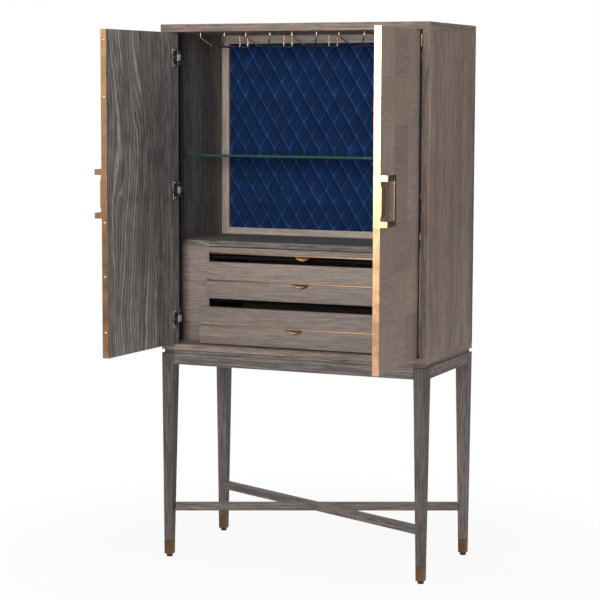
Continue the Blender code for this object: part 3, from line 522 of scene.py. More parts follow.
def velvetMaterial(name, setup):
    # painted light and shade: slopes facing one way are light, the others dark, by an attribute of the piece
    tree, shader, source = newMaterial(name)
    paintedSlopeLight = addNode(tree, "Attribute", {}, attribute_name="paintedSlopeLight")["Fac"]
    cloudy = noise(tree, source, setup["cloud"], 4.0)
    pile = noise(tree, source, setup["pile"])
    paintedSlopeLight = maths(tree, "MULTIPLY_ADD", maths(tree, "SUBTRACT", cloudy, 0.5), setup["cloudShare"], paintedSlopeLight)
    colour = blend(tree, rangeOf(tree, paintedSlopeLight, 0.5, 0.0), setup["base"], setup["deep"])
    colour = blend(tree, rangeOf(tree, paintedSlopeLight, 0.5, 1.0), colour, setup["lit"])
    setInputs(tree, shader, {
        "Base Color": scaled(tree, colour, rangeOf(tree, pile, *noiseSpan, *setup["pileTone"])),
        "Roughness": setup["rough"],
        "Specular IOR Level": setup["gloss"],
        "Sheen Weight": setup["sheen"],
        "Sheen Roughness": setup["sheenRough"],
        "Sheen Tint": setup["sheenTint"],
    })
    addBump(tree, shader, pile, *setup["bump"])


# side panels and case sides: outer oak outside, darker oak inside, in one material by place

casePanels = {
    "innerAt": 0.4285,
    "edge": 0.0006,
    "lippingTo": 0.0048,
    "rearFrom": 0.3700,
    "edgeLevel": 1.02,
    "lippingLevel": 1.27,
    "rearLevel": 0.96,
    "lineTone": 0.45,
    "lineReach": (0.0010, 0.0003),
    "lineShare": 0.5,
    "innerShift": (0.5, 0.3, 0.2),
    # painted shade on the inside near its front edge, behind the doors' hinge edges
    "innerShadeLevels": (0.068, 0.115, 0.04, 1.0),      # the inside is dark up to the first depth, plain from the second
    "stileTo": 0.0890,
    "stileShift": (0.1, 0.4, 0.2),
    "stileLevel": 1.10,
    "behindShadeLevel": 0.12,
}


def sidePanelMaterial(name, side, setup):
    # outside of the plane x = innerAt the outer oak, inside it the darker inner oak
    tree, shader, source = newMaterial(name)
    across, depth, _ = axes(tree, source)
    outer, outerPores = woodColour(tree, turned(tree, source, grainTurns["z"]), "outer")
    behindFront = maths(tree, "GREATER_THAN", depth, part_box("side_left")[0][1] + setup["edge"])
    lipping = blend(tree, behindFront, setup["edgeLevel"], setup["lippingLevel"], "FLOAT")
    isRear = maths(tree, "GREATER_THAN", depth, setup["rearFrom"])
    level = blend(tree, isRear, 1.0, setup["rearLevel"], "FLOAT")
    level = blend(tree, maths(tree, "LESS_THAN", depth, setup["lippingTo"]), level, lipping, "FLOAT")
    outer = scaled(tree, outer, level)
    for at in (setup["lippingTo"], setup["rearFrom"]):
        share = nearTo(tree, depth, at, setup["lineReach"], setup["lineShare"])
        outer = blend(tree, share, outer, dimmed(woods["outer"]["tone"], setup["lineTone"]))
    inner, innerPores = woodColour(tree, turned(tree, source, grainTurns["z"], setup["innerShift"]), "case")
    # painted shade: the inside is darkened near the front
    inner = scaled(tree, inner, rangeOf(tree, depth, *setup["innerShadeLevels"]))
    isInner = maths(tree, "LESS_THAN", times(tree, across, float(side)), setup["innerAt"])
    isInner = times(tree, isInner, behindFront)
    finishPair(tree, shader, isInner, (outer, outerPores), (inner, innerPores), "outer")


def caseSideMaterial(name, setup):
    # the stile's face has level grain and the front tone, everything behind it the dark inner oak, darkened further
    # as painted shade
    tree, shader, source = newMaterial(name)
    face, facePores = woodColour(tree, turned(tree, source, grainTurns["x"], setup["stileShift"]), "front")
    dark, darkPores = woodColour(tree, turned(tree, source, grainTurns["y"]), "case")
    isDark = maths(tree, "GREATER_THAN", axes(tree, source)[1], setup["stileTo"])
    face = scaled(tree, face, setup["stileLevel"])
    dark = scaled(tree, dark, setup["behindShadeLevel"])
    finishPair(tree, shader, isDark, (face, facePores), (dark, darkPores), "front")


# wood finishes: wood, grain direction, shift, regions as axis, from, to, grain and level there, seams, slant

levelShift = (0.3, 0.1, 0.0)
legShift = (0.4, 0.2, 0.0)
endBand = (("x", 0.4492, 0.46, "y", 1.0), ("x", -0.46, -0.4492, "y", 1.0))
# painted shade: the bottom board is darkened behind its front, under the drawers
paintedShadeBehind = (("y", 0.090, 0.4220, "x", 0.25),)
frameStiles = (("x", -0.46, -0.4010, "z", 1.0), ("x", 0.4010, 0.46, "z", 1.0))
frameSeams = (("x", -0.4010), ("x", 0.4010))
glideTop = 0.0095
stretcherLow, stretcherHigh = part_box("stretcher_a")
stretcherSlant = math.atan2(stretcherHigh[1] - stretcherLow[1], stretcherHigh[0] - stretcherLow[0])

woodFinishes = {
    "outer_oak_level": ("outer", "x", levelShift, endBand),
    "bottom_oak_level": ("outer", "x", levelShift, paintedShadeBehind + endBand),
    "back_oak_upright": ("case", "z"),
    "front_oak_level": ("front", "x", noShift, (("z", 0.8, 0.97, "x", 1.06),)),
    "front_oak_lower": ("front", "x", noShift, (("z", 0.6, 0.9, "x", 0.88),)),
    "deck_oak_level": ("case", "x"),
    "rail_oak_dark": ("gap_shade_dark", "x"),
    "frame_oak_jointed": ("frame", "x", noShift, frameStiles, frameSeams),
    "stand_oak_upright": ("stand", "z"),
    "stand_oak_front_legs": ("stand", "z", legShift, (("y", -1.0, 1.0, "z", 0.56),)),
    "stand_oak_level": ("stand", "x"),
    "stand_oak_deep": ("stand", "y"),
    "stretcher_oak_a": ("stand", "x", noShift, (), (), -stretcherSlant),
    "stretcher_oak_b": ("stand", "x", noShift, (), (), stretcherSlant),
    "drawer_birch_level": ("birch", "x"),
}
for name, settings in woodFinishes.items():
    woodMaterial(name, *settings)
for name, door in doors.items():
    doorMaterial(name, door, doorVeneer)
    hingeMaterial(name + "_cup", hingeMetal, door)
sidePanelMaterial("side_left_oak", -1, casePanels)
sidePanelMaterial("side_right_oak", 1, casePanels)
caseSideMaterial("case_side_oak", casePanels)
metalMaterial("brass_polished", metalFinish)
metalMaterial("rack_brass", metalFinish)
metalMaterial("hinge_nickel", metalFinish)
metalMaterial("foot_bronze", metalFinish, glideTop)
brassWithPaintedShade("brass_line_painted_shade", metals["brass_line"], metalFinish)
brassWithPaintedShade("brass_handle_painted_shade", metals["brass_polished"], metalFinish)
hingeMaterial("hinge_arm", hingeMetal)
glassMaterial("shelf_glass_clear", glassSetup)
velvetMaterial("quilt_velvet", velvet)
print("materials made:", len(finishes))

nodeFinishes = {
    "side_left_oak": ["side_left"],
    "side_right_oak": ["side_right"],
    "back_oak_upright": ["back_panel"],
    "outer_oak_level": ["top_board"],
    "bottom_oak_level": ["bottom_board"],
    "case_side_oak": ["case_side_left", "case_side_right"],
    "deck_oak_level": ["deck_board"],
    "rail_oak_dark": ["tray_rail", "drawer_rail"],
    "front_oak_level": ["tray_board", "upper_drawer_front"],
    "front_oak_lower": ["lower_drawer_front"],
    "frame_oak_jointed": ["back_frame"],
    "stand_oak_front_legs": ["leg_front_left", "leg_front_right"],
    "stand_oak_upright": ["leg_back_left", "leg_back_right"],
    "stand_oak_level": ["apron_front", "apron_back", "plinth_board"],
    "stretcher_oak_a": ["stretcher_a"],
    "stretcher_oak_b": ["stretcher_b"],
    "stand_oak_deep": ["apron_left", "apron_right"],
    "drawer_birch_level": ["upper_drawer_box", "lower_drawer_box"],
    "brass_polished": [
        "tray_edge", "upper_drawer_inlay", "lower_drawer_inlay", "left_door_edge_strip", "right_door_edge_strip",
        "left_door_handle", "right_door_handle",
    ],
    "rack_brass": [name for name in nodes if name.startswith("rack_wire_")],
    "foot_bronze": ["foot_front_left", "foot_front_right", "foot_back_left", "foot_back_right"],
    "hinge_nickel": [name for name in nodes if "_cup_" in name or "_arm_" in name],
    "shelf_glass_clear": ["glass_shelf"],
    "quilt_velvet": ["velvet_quilt"],
    "left_door_veneer": ["left_door_leaf"],
    "right_door_veneer": ["right_door_leaf"],
}


def dress(piece, finish):
    piece.data.materials.clear()
    piece.data.materials.append(finishes[finish])


for finish, names in nodeFinishes.items():
    for name in names:
        dress(nodes[name], finish)
print("nodes dressed:", sum(len(names) for names in nodeFinishes.values()))


# new pieces as grids of points

def unit(values):
    return np.clip(values, 0.0, 1.0)


def gridFaces(rows, columns, caps=0, closedAlong=False):
    # with caps the rows are rings, with a face over the last of them or over both ends
    index = np.arange(rows * columns).reshape(rows, columns)
    ends = [index[0, ::-1].tolist(), index[-1].tolist()][2 - caps:]
    if caps:
        index = np.concatenate([index, index[:, :1]], axis=1)
    if closedAlong:
        index = np.concatenate([index, index[:1]], axis=0)
    sides = np.stack([index[:-1, :-1], index[:-1, 1:], index[1:, 1:], index[1:, :-1]], axis=-1)
    return sides.reshape(-1, 4).tolist() + ends


def meshPiece(name, finish, points, faces, attributes=None, merge=0.0):
    # one object from points and faces, doubles merged and faces turned outwards where merge is given
    mesh = bpy.data.meshes.new(name)
    mesh.from_pydata(points.reshape(-1, 3).tolist(), [], faces)
    for key, values in (attributes or {}).items():
        stored = mesh.attributes.new(key, "FLOAT", "POINT")
        stored.data.foreach_set("value", np.ascontiguousarray(values, np.float32).ravel())
    if merge > 0.0:
        shell = bmesh.new()
        shell.from_mesh(mesh)
        bmesh.ops.remove_doubles(shell, verts=shell.verts, dist=merge)
        bmesh.ops.dissolve_degenerate(shell, edges=shell.edges, dist=merge)
        bmesh.ops.recalc_face_normals(shell, faces=shell.faces)
        shell.to_mesh(mesh)
        shell.free()
    mesh.shade_smooth()
    mesh.materials.append(finishes[finish])
    return addObject(name, mesh)


def settle(piece, like, replaced=()):
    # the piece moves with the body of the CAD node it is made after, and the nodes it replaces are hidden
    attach(piece, body_of(nodes[like])[0])
    if replaced:
        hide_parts(*replaced)


def roundedSlab(outline, low, high, edge, steps=3):
    # an outline carried from low to high; near both faces it is pulled in along a quarter circle of radius edge
    ahead = np.roll(outline, -1, axis=0) - outline
    ahead /= np.linalg.norm(ahead, axis=1, keepdims=True)
    normal = np.stack([ahead[:, 1], -ahead[:, 0]], axis=1)
    before = np.roll(normal, 1, axis=0)
    mitre = (normal + before) / (1.0 + np.sum(normal * before, axis=1, keepdims=True))
    angle = np.linspace(0.0, math.pi / 2, steps + 1)
    pull = edge * (1.0 - np.sin(angle))
    rise = edge * (1.0 - np.cos(angle))
    pull = np.concatenate([pull, pull[::-1]])
    level = np.concatenate([low + rise, high - rise[::-1]])
    flat = outline[None, :, :] - mitre[None, :, :] * pull[:, None, None]
    points = np.concatenate([flat, np.broadcast_to(level[:, None, None], (len(level), len(outline), 1))], axis=2)
    return points.reshape(-1, 3), gridFaces(len(level), len(outline), caps=2)


def upright(slab):
    # a slab with its outline in x and z, carried along y
    return slab[0][:, [0, 2, 1]], [face[::-1] for face in slab[1]]


def roundedBlock(low, high, edge):
    outline = np.array([[low[0], low[2]], [high[0], low[2]], [high[0], high[2]], [low[0], high[2]]])
    return upright(roundedSlab(outline, low[1], high[1], edge))


def joined(parts):
    # parts: pairs of points and faces, put behind one another
    points = np.concatenate([part[0] for part in parts])
    faces = []
    first = 0
    for partPoints, partFaces in parts:
        faces.extend([[corner + first for corner in face] for face in partFaces])
        first += len(partPoints)
    return points, faces


def sharpen(piece, degrees=40.0, flatFaces=False):
    # sharp edges past an angle; with flatFaces the large faces keep their own normals beside a rounded edge
    piece.data.set_sharp_from_angle(angle=math.radians(degrees))
    if flatFaces:
        weighted = piece.modifiers.new("weighted normals", "WEIGHTED_NORMAL")
        weighted.keep_sharp = True
        weighted.weight = 90
    return piece


# quilt

quiltShape = {
    "columns": 15,
    "rows": 7,
    "crown": 0.0085,
    "base": 0.010,
    "stepsPerDiamond": 26,
    "puff": 0.46,
    "border": (2.5, 0.5),       # slope towards the rim in diamonds, and its power
    "pucker": 0.0006,
    "waves": 9,
    "waveSpan": (2.0, 9.0),
    "seed": 4,
    "lightReach": 0.070,
    "darkReach": 0.16,
    "faintReach": 0.04,
    # shares of the painted light and shade on the quilt's slopes
    "paintedSlopeLight": {"middle": 0.45, "light": 0.60, "dark": 0.44, "faint": 0.36, "lower": 0.10, "rear": 0.3},
}


def makeQuilt(shape):
    # height of a diamond: crown * |sin(pi p) sin(pi q)| ** puff, with p and q counted along the two seam directions
    low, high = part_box("velvet_quilt")
    u = np.linspace(0.0, shape["columns"], shape["columns"] * shape["stepsPerDiamond"] + 1)
    v = np.linspace(0.0, shape["rows"], shape["rows"] * shape["stepsPerDiamond"] + 1)
    u, v = np.meshgrid(u, v)
    ridge = np.abs(np.sin(np.pi * (u + v)) * np.sin(np.pi * (u - v)))
    height = shape["crown"] * ridge ** shape["puff"]
    fromRim = np.minimum(np.minimum(u, shape["columns"] - u), np.minimum(v, shape["rows"] - v))
    height = height * unit(fromRim * shape["border"][0]) ** shape["border"][1]
    rng = np.random.default_rng(shape["seed"])
    for _ in range(shape["waves"]):
        waveU, waveV = rng.uniform(*shape["waveSpan"], 2)
        phase = rng.uniform(0.0, 2.0 * np.pi)
        height = height + shape["pucker"] / shape["waves"] * np.sin(waveU * u + waveV * v + phase) * ridge
    # painted light and shade: by each steep seam one side is light, the other dark; flat seams are a faint line
    past = (u + v) % 1.0
    flat = np.abs((u - v + 0.5) % 1.0 - 0.5)
    shares = shape["paintedSlopeLight"]
    light = shares["light"] * np.exp(-past / shape["lightReach"])
    dark = shares["dark"] * np.exp(-(1.0 - past) / shape["darkReach"])
    faint = shares["faint"] * np.exp(-(flat / shape["faintReach"]) ** 2)
    paintedSlopeLight = unit(shares["middle"] + light - dark + faint + shares["lower"] * (0.5 - v % 1.0))
    x = low[0] + (high[0] - low[0]) * u / shape["columns"]
    z = low[2] + (high[2] - low[2]) * v / shape["rows"]
    front = np.stack([x, high[1] - shape["base"] - height, z], axis=-1)
    # the sheet's edge goes straight back to the panel, and one face closes the rear
    index = np.arange(u.size).reshape(u.shape)
    ring = np.concatenate([index[0, :-1], index[:-1, -1], index[-1, :0:-1], index[:0:-1, 0]])
    rear = front.reshape(-1, 3)[ring].copy()
    rear[:, 1] = high[1]
    behind = np.arange(len(ring)) + u.size
    walls = np.stack([ring, behind, np.roll(behind, -1), np.roll(ring, -1)], axis=1)
    # each cell, with corners a to d round it, is split along the seam that it lies nearer to
    a = index[:-1, :-1]
    b = index[:-1, 1:]
    c = index[1:, 1:]
    d = index[1:, :-1]
    middleU = (u[:-1, :-1] + u[1:, 1:]) / 2
    middleV = (v[:-1, :-1] + v[1:, 1:]) / 2
    toSteep = np.abs((middleU + middleV + 0.5) % 1.0 - 0.5)
    toFlat = np.abs((middleU - middleV + 0.5) % 1.0 - 0.5)
    isSteep = (toSteep < toFlat)[..., None]
    nearHalf = np.where(isSteep, np.stack([a, b, d], axis=-1), np.stack([a, b, c], axis=-1))
    farHalf = np.where(isSteep, np.stack([b, c, d], axis=-1), np.stack([a, c, d], axis=-1))
    cells = np.concatenate([nearHalf.reshape(-1, 3), farHalf.reshape(-1, 3)])
    faces = cells.tolist() + walls.tolist() + [behind[::-1].tolist()]
    points = np.concatenate([front.reshape(-1, 3), rear])
    paintedSlopeLight = np.concatenate([paintedSlopeLight.ravel(), np.full(len(ring), shares["rear"])])
    quilt = meshPiece("quilted_velvet", "quilt_velvet", points, faces, {"paintedSlopeLight": paintedSlopeLight}, 1e-8)
    settle(quilt, "velvet_quilt", ["velvet_quilt"])


makeQuilt(quiltShape)
print("quilt made")


# stemware rack: round wire through corners with round bends

rackShape = {
    "mouth": 0.084,
    "slot": 0.034,
    "rearSlot": 0.029,
    "drop": 0.015,
    "flareBack": 0.042,
    "radius": 0.0023,
    "bend": 0.0055,
    "bendSteps": 7,
    "sides": 14,
    "reference": (1.0, 0.37, 0.21),      # no stretch of wire runs this way
    "sharpFrom": 60.0,
}


def bentPath(corners, bend, steps):
    # at each inner corner a curve of degree two from bend before it to bend after it
    path = [corners[:1]]
    share = np.linspace(0.0, 1.0, steps)[:, None]
    for before, corner, after in zip(corners, corners[1:], corners[2:]):
        start = corner + (before - corner) / np.linalg.norm(before - corner) * bend
        end = corner + (after - corner) / np.linalg.norm(after - corner) * bend
        path.append((1.0 - share) ** 2 * start + 2.0 * share * (1.0 - share) * corner + share ** 2 * end)
    path.append(corners[-1:])
    return np.concatenate(path)


def tube(path, radius, sides, reference):
    # rings round the path: centre + radius * (cos a * side + sin a * up), with caps at both ends
    ahead = np.gradient(path, axis=0)
    ahead /= np.linalg.norm(ahead, axis=1, keepdims=True)
    side = np.cross(ahead, np.array(reference))
    side /= np.linalg.norm(side, axis=1, keepdims=True)
    up = np.cross(side, ahead)
    angle = np.linspace(0.0, 2.0 * math.pi, sides, endpoint=False)[None, :, None]
    rings = path[:, None, :] + radius * (np.cos(angle) * side[:, None, :] + np.sin(angle) * up[:, None, :])
    return rings.reshape(-1, 3), gridFaces(len(path), sides, caps=2)


def makeRack(shape):
    radius = shape["radius"]
    for name in nodeFinishes["rack_brass"]:
        low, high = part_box(name)
        front = low[1] + radius
        rear = high[1] - radius
        rod = low[2] + radius
        half = np.array([
            [shape["mouth"] / 2, front, high[2]],
            [shape["mouth"] / 2, front, high[2] - shape["drop"]],
            [shape["slot"] / 2, front + shape["flareBack"], rod],
            [shape["rearSlot"] / 2, rear, rod],
            [shape["rearSlot"] / 2, rear, high[2] - radius],
        ])
        other = half[::-1] * np.array([-1.0, 1.0, 1.0])
        corners = np.concatenate([half, other]) + np.array([(low[0] + high[0]) / 2, 0.0, 0.0])
        path = bentPath(corners, shape["bend"], shape["bendSteps"])
        points, faces = tube(path, radius, shape["sides"], shape["reference"])
        wire = meshPiece(name + "_round", "rack_brass", points, faces, merge=1e-6)
        settle(sharpen(wire, shape["sharpFrom"]), name, [name])


makeRack(rackShape)
print("rack made")


# brass lines with half-moon pulls; parts of the painted shade: middle or start over the dish, then reach

pullShape = {
    "line": 0.0035,
    "lineProud": 0.0006,
    "lineDeep": 0.0019,
    "edge": 0.0004,
    "overlap": 0.0003,
    "width": 0.058,
    "drop": 0.014,
    "proud": 0.0042,
    "sink": 0.0034,
    "sinkPower": 0.7,
    "hollow": (0.06, 0.88),
    "across": 44,
    "along": 14,
    "sharpFrom": 50.0,
    "paintedShade": {
        "band": (0.30, 0.26), "rim": (0.86, 0.08), "ends": (0.62, 0.2), "endsBelow": 0.12, "least": 0.55,
        "brightAcross": 0.5, "brightDown": (0.66, 0.24), "top": 0.3, "bottom": 0.9,
    },
}


def pullDish(centre, top, face, shape):
    # between the straight upper edge and a circle's arc below it, sunk by sin(pi v) ** 0.7 * sqrt(1 - u * u)
    half = shape["width"] / 2
    radius = (half ** 2 + shape["drop"] ** 2) / (2 * shape["drop"])
    u = -np.cos(np.linspace(0.0, math.pi, shape["across"] + 1))
    v = np.linspace(0.0, 1.0, shape["along"] + 1)
    u, v = np.meshgrid(u, v)
    arc = np.sqrt(radius ** 2 - (u * half) ** 2) - (radius - shape["drop"])
    hollow = unit((v - shape["hollow"][0]) / shape["hollow"][1])
    sunk = np.sin(math.pi * hollow) ** shape["sinkPower"] * np.sqrt(unit(1.0 - u ** 2))
    y = face - shape["proud"] + shape["sink"] * sunk
    front = np.stack([centre + half * u, y, top - v * arc], axis=-1)
    backs = front[[0, -1]].copy()
    backs[..., 1] = face
    points = np.concatenate([backs[:1], front, backs[1:]])
    setup = shape["paintedShade"]
    # painted shade: a dark band high in the dish, a dark lower rim and dark ends; a painted highlight low in the
    # middle
    band = unit(1.0 - np.abs(v - setup["band"][0]) / setup["band"][1]) ** 0.5
    rim = unit((v - setup["rim"][0]) / setup["rim"][1])
    ends = unit((np.abs(u) - setup["ends"][0]) / setup["ends"][1]) * unit(v / setup["endsBelow"])
    bright = unit(1.0 - ((v - setup["brightDown"][0]) / setup["brightDown"][1]) ** 2)
    bright = bright * unit(1.0 - (np.abs(u) / setup["brightAcross"]) ** 2)
    paintedShade = np.clip(np.maximum(np.maximum(band, rim), ends), setup["least"] * (1.0 - bright), 1.0)
    rows = [np.full_like(paintedShade[:1], setup["top"]), paintedShade, np.full_like(paintedShade[:1], setup["bottom"])]
    return points.reshape(-1, 3), gridFaces(*points.shape[:2], closedAlong=True), np.concatenate(rows).ravel()


def makePull(name, node, board, shape):
    low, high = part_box(node)
    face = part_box(board)[0][1]
    lineLow = (low[0], face - shape["lineProud"], high[2] - shape["line"])
    line = roundedBlock(lineLow, (high[0], face + shape["lineDeep"], high[2]), shape["edge"])
    *dish, paintedShade = pullDish(0.0, lineLow[2] + shape["overlap"], face, shape)
    points, faces = joined([line, dish])
    paintedShade = np.concatenate([np.zeros(len(line[0])), paintedShade])
    piece = meshPiece(name, "brass_line_painted_shade", points, faces, {"paintedShade": paintedShade}, 1e-6)
    settle(sharpen(piece, shape["sharpFrom"]), node, [node])


makePull("tray_line_with_pull", "tray_edge", "tray_board", pullShape)
makePull("upper_line_with_pull", "upper_drawer_inlay", "upper_drawer_front", pullShape)
makePull("lower_line_with_pull", "lower_drawer_inlay", "lower_drawer_front", pullShape)
print("pulls made")


# screws: a domed head with a cross recess

screwShape = {
    "radius": 0.0036,
    "dome": 0.0009,
    "rim": 0.0003,
    "recess": 0.0009,
    "slotHalf": 0.00055,
    "slotWide": 1.6,
    "slotReach": 0.0021,
    "rings": 9,
    "spokes": 24,
    "scale": 0.9,
}


def placedScrew(at, outward, shape=screwShape):
    # height over the plate at r, a: rim + dome * (1 - r * r), less the recess inside two crossed bars
    r = np.linspace(0.0, 1.0, shape["rings"])[:, None]
    a = np.linspace(0.0, 2.0 * math.pi, shape["spokes"], endpoint=False)[None, :]
    x = shape["radius"] * r * np.cos(a)
    y = shape["radius"] * r * np.sin(a)
    wide = shape["slotHalf"] * shape["slotWide"]
    bars = []
    for across, along in ((x, y), (y, x)):
        bars.append(unit((wide - np.abs(across)) / shape["slotHalf"]) * (np.abs(along) < shape["slotReach"]))
    height = shape["rim"] + shape["dome"] * (1.0 - r ** 2) - shape["recess"] * np.maximum(*bars)
    head = np.stack([x, y, height], axis=-1)
    foot = head[-1:].copy()
    foot[..., 2] = 0.0
    points = np.concatenate([head, foot])
    # the height points outward
    side = np.cross((0.0, 0.0, 1.0), outward)
    frameOf = np.stack([side, np.cross(outward, side), outward])
    placed = (points.reshape(-1, 3) * shape["scale"]) @ frameOf + np.array(at)
    return placed, gridFaces(len(points), shape["spokes"], caps=1)


def screwPiece(name, heads, finish, like, door=None):
    points, faces = joined(heads)
    if door is not None:
        points = toRest(points, door)
    settle(sharpen(meshPiece(name, finish, points, faces, merge=1e-7)), like)


# handles: ears out from the edge plate, a C-shaped plate in front of the door, a guard between the ears

handleShape = {
    "arm": 0.0175,
    "grip": 0.0175,
    "sheet": 0.003,
    "edgePlate": 0.0009,
    "gap": 0.0003,
    "inset": 0.0001,
    "corner": 0.003,
    "guardHeight": 0.104,
    "guardWidth": 0.044,
    "guardThickness": 0.004,
    "guardChamfer": 0.014,
    "edge": 0.0006,
    "plateEdge": 0.0002,
    "guardEdge": 0.0003,
    "gripShade": 0.72,      # painted shade: how dark the grip plate is made
}


def makeHandle(door, name, shape):
    # worked out for the right-hand door, whose closed free edge points to -x, and mirrored for the left
    side = door["side"]
    low, high = closedBox(f"{name}_handle", door)
    leafLow, leafHigh = closedBox(f"{name}_leaf", door)
    front, far = (low[0], high[0]) if side > 0 else (-high[0], -low[0])
    outerFace = leafLow[1] - shape["gap"]
    tip = low[1]
    level = (low[2] + high[2]) / 2
    tall = (high[2] - low[2]) / 2
    inner = tall - shape["arm"]
    grip = far - shape["grip"]
    inset = shape["inset"]
    parts = [roundedBlock((front, outerFace - shape["edgePlate"], level - tall),
        (front + shape["edgePlate"], leafHigh[1], level + tall), shape["plateEdge"])]
    for earLow in (level - tall, level + inner):
        parts.append(roundedBlock((front + inset, tip + inset, earLow + inset),
            (front + shape["sheet"], outerFace, earLow + shape["arm"] - inset), shape["edge"]))
    upper = [(front, inner), (front, tall), (far - shape["corner"], tall), (far, tall - shape["corner"])]
    lower = [(across, -along) for across, along in reversed(upper)]
    outline = np.array(upper + lower + [(grip, -inner), (grip, inner)])[::-1]
    points, faces = upright(roundedSlab(outline, tip, tip + shape["sheet"], shape["edge"]))
    gripPlate = (points + np.array([0.0, 0.0, level]), faces)
    guardFace = outerFace - shape["guardThickness"]
    guardHalf = shape["guardHeight"] / 2
    profile = np.array([
        [guardFace, guardHalf - shape["guardChamfer"]], [guardFace, shape["guardChamfer"] - guardHalf],
        [outerFace, -guardHalf], [outerFace, guardHalf],
    ])
    points, faces = roundedSlab(profile, front + shape["gap"], front + shape["guardWidth"], shape["guardEdge"])
    parts.extend([gripPlate, (points[:, [2, 0, 1]] + np.array([0.0, 0.0, level]), faces)])
    # the grip plate gets painted shade, the other parts none
    dark = [np.full(len(part[0]), shape["gripShade"] if part is gripPlate else 0.0) for part in parts]
    points, faces = joined(parts)
    points = toRest(points * np.array([float(side), 1.0, 1.0]), door)
    piece = meshPiece(f"{name}_pull", "brass_handle_painted_shade", points, faces, {"paintedShade": np.concatenate(dark)}, 1e-7)
    settle(sharpen(piece, flatFaces=True), f"{name}_handle", [f"{name}_handle"])


for name, door in doors.items():
    makeHandle(door, name, handleShape)
print("handles made")


# screws on the doors' brass strips, the hinge cups and the hinge arms

fixings = {
    "stripLevels": (1.655, 1.487, 1.122, 0.949, 0.780),
    "handleClear": 0.004,
    "belowHandle": 0.012,
    "cupSpread": 0.0245,
    "cupSink": 0.0002,
    "armSpread": 0.0175,
    "armFromFar": 0.017,
    "armSink": 0.0022,
}


def makeFixings(name, door, setup):
    side = door["side"]
    inwards = (-side, 0.0, 0.0)
    strip = []
    cups = []
    arms = []
    low, high = closedBox(f"{name}_edge_strip", door)
    handleLow, handleHigh = closedBox(f"{name}_handle", door)
    for level in setup["stripLevels"]:
        if handleLow[2] - setup["handleClear"] < level < handleHigh[2] + setup["handleClear"]:
            level = handleLow[2] - setup["belowHandle"]
        at = (low[0] if side > 0 else high[0], (low[1] + high[1]) / 2, level)
        strip.append(placedScrew(at, inwards))
    for number in (1, 2, 3):
        low, high = closedBox(f"{name}_cup_{number}", door)
        armLow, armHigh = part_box(f"{name}_arm_{number}")
        wall = armHigh[0] if side > 0 else -armLow[0]
        for along in (-1.0, 1.0):
            level = (low[2] + high[2]) / 2 + along * setup["cupSpread"]
            at = ((low[0] + high[0]) / 2, high[1] - setup["cupSink"], level)
            cups.append(placedScrew(at, (0.0, 1.0, 0.0)))
            level = (armLow[2] + armHigh[2]) / 2 + along * setup["armSpread"]
            at = (side * (wall - setup["armSink"]), armHigh[1] - setup["armFromFar"], level)
            arms.append(placedScrew(at, inwards))
    screwPiece(f"{name}_strip_screws", strip, "brass_polished", f"{name}_edge_strip", door)
    screwPiece(f"{name}_cup_screws", cups, "hinge_nickel", f"{name}_cup_1", door)
    screwPiece(f"{name}_arm_screws", arms, "hinge_nickel", f"{name}_arm_1")


for name, door in doors.items():
    makeFixings(name, door, fixings)
print("screws made")


# CAD pieces of metal and sawn wood, copied with rounded edges: finish and radius of each

roundings = {name: ("foot_bronze", 0.0007) for name in nodeFinishes["foot_bronze"]}
roundings["upper_drawer_front"] = ("front_oak_level", 0.0010)
roundings["lower_drawer_front"] = ("front_oak_lower", 0.0010)
roundings["tray_board"] = ("front_oak_level", 0.0010)
for name in doors:
    for number in (1, 2, 3):
        roundings[f"{name}_arm_{number}"] = ("hinge_arm_zinc", 0.0005)
        roundings[f"{name}_cup_{number}"] = (f"{name}_cup_zinc", 0.0003)
roundedSetup = {"merge": 1e-5, "flat": 1.0, "sharpFrom": 35.0, "bevelFrom": 40.0, "segments": 2}


def roundedCopy(node, finish, width, setup):
    mesh = nodes[node].data.copy()
    shell = bmesh.new()
    shell.from_mesh(mesh)
    flat = math.radians(setup["flat"])
    bmesh.ops.remove_doubles(shell, verts=shell.verts, dist=setup["merge"])
    bmesh.ops.dissolve_limit(shell, angle_limit=flat, verts=shell.verts, edges=shell.edges)
    shell.to_mesh(mesh)
    shell.free()
    mesh.shade_smooth()
    piece = sharpen(addObject(node + "_rounded", mesh), setup["sharpFrom"])
    bevel = piece.modifiers.new("rounded edges", "BEVEL")
    bevel.width = width
    bevel.segments = setup["segments"]
    bevel.limit_method = "ANGLE"
    bevel.angle_limit = math.radians(setup["bevelFrom"])
    bevel.harden_normals = True
    dress(piece, finish)
    settle(piece, node, [node])


for node, (finish, width) in roundings.items():
    roundedCopy(node, finish, width, roundedSetup)
print("rounded copies:", len(roundings))


# studio

studio = {
    "floorSize": 30.0,
    "floorTone": (0.78, 0.78, 0.78),
    "white": (1.0, 1.0, 1.0),
    "shadowCentre": (0.0, 0.2, 0.0),
    "shadowShare": 0.09,
    "shadowFrom": 0.55,
    "shadowTo": 1.5,
    "roomLight": 0.42,
    "cardPower": 1.6,
}
lampSetups = {
    "frontBox": {"place": (0.30, -4.7, 2.0), "aim": (0.0, 0.0, 1.1), "size": (1.5, 1.7), "power": 135.0},
    "rightFill": {"place": (4.6, -1.9, 2.8), "aim": (0.0, 0.1, 1.1), "size": (2.2, 2.2), "power": 52.0},
    "topBox": {"place": (0.2, -0.9, 4.3), "aim": (0.0, 0.1, 1.0), "size": (2.4, 2.0), "power": 25.0},
}
cardSetups = {
    "rearCard": {"centre": (2.4, 4.2, 1.3), "size": (4.0, 3.4), "low": 0.10, "high": 0.14},
    "leftCard": {"centre": (-2.75, -3.70, 1.25), "size": (2.8, 2.4), "low": 0.13, "high": 1.50},
    "frontCard": {"centre": (-0.80, -5.1, 1.1), "size": (1.3, 2.4), "low": 0.42, "high": 4.6},
}


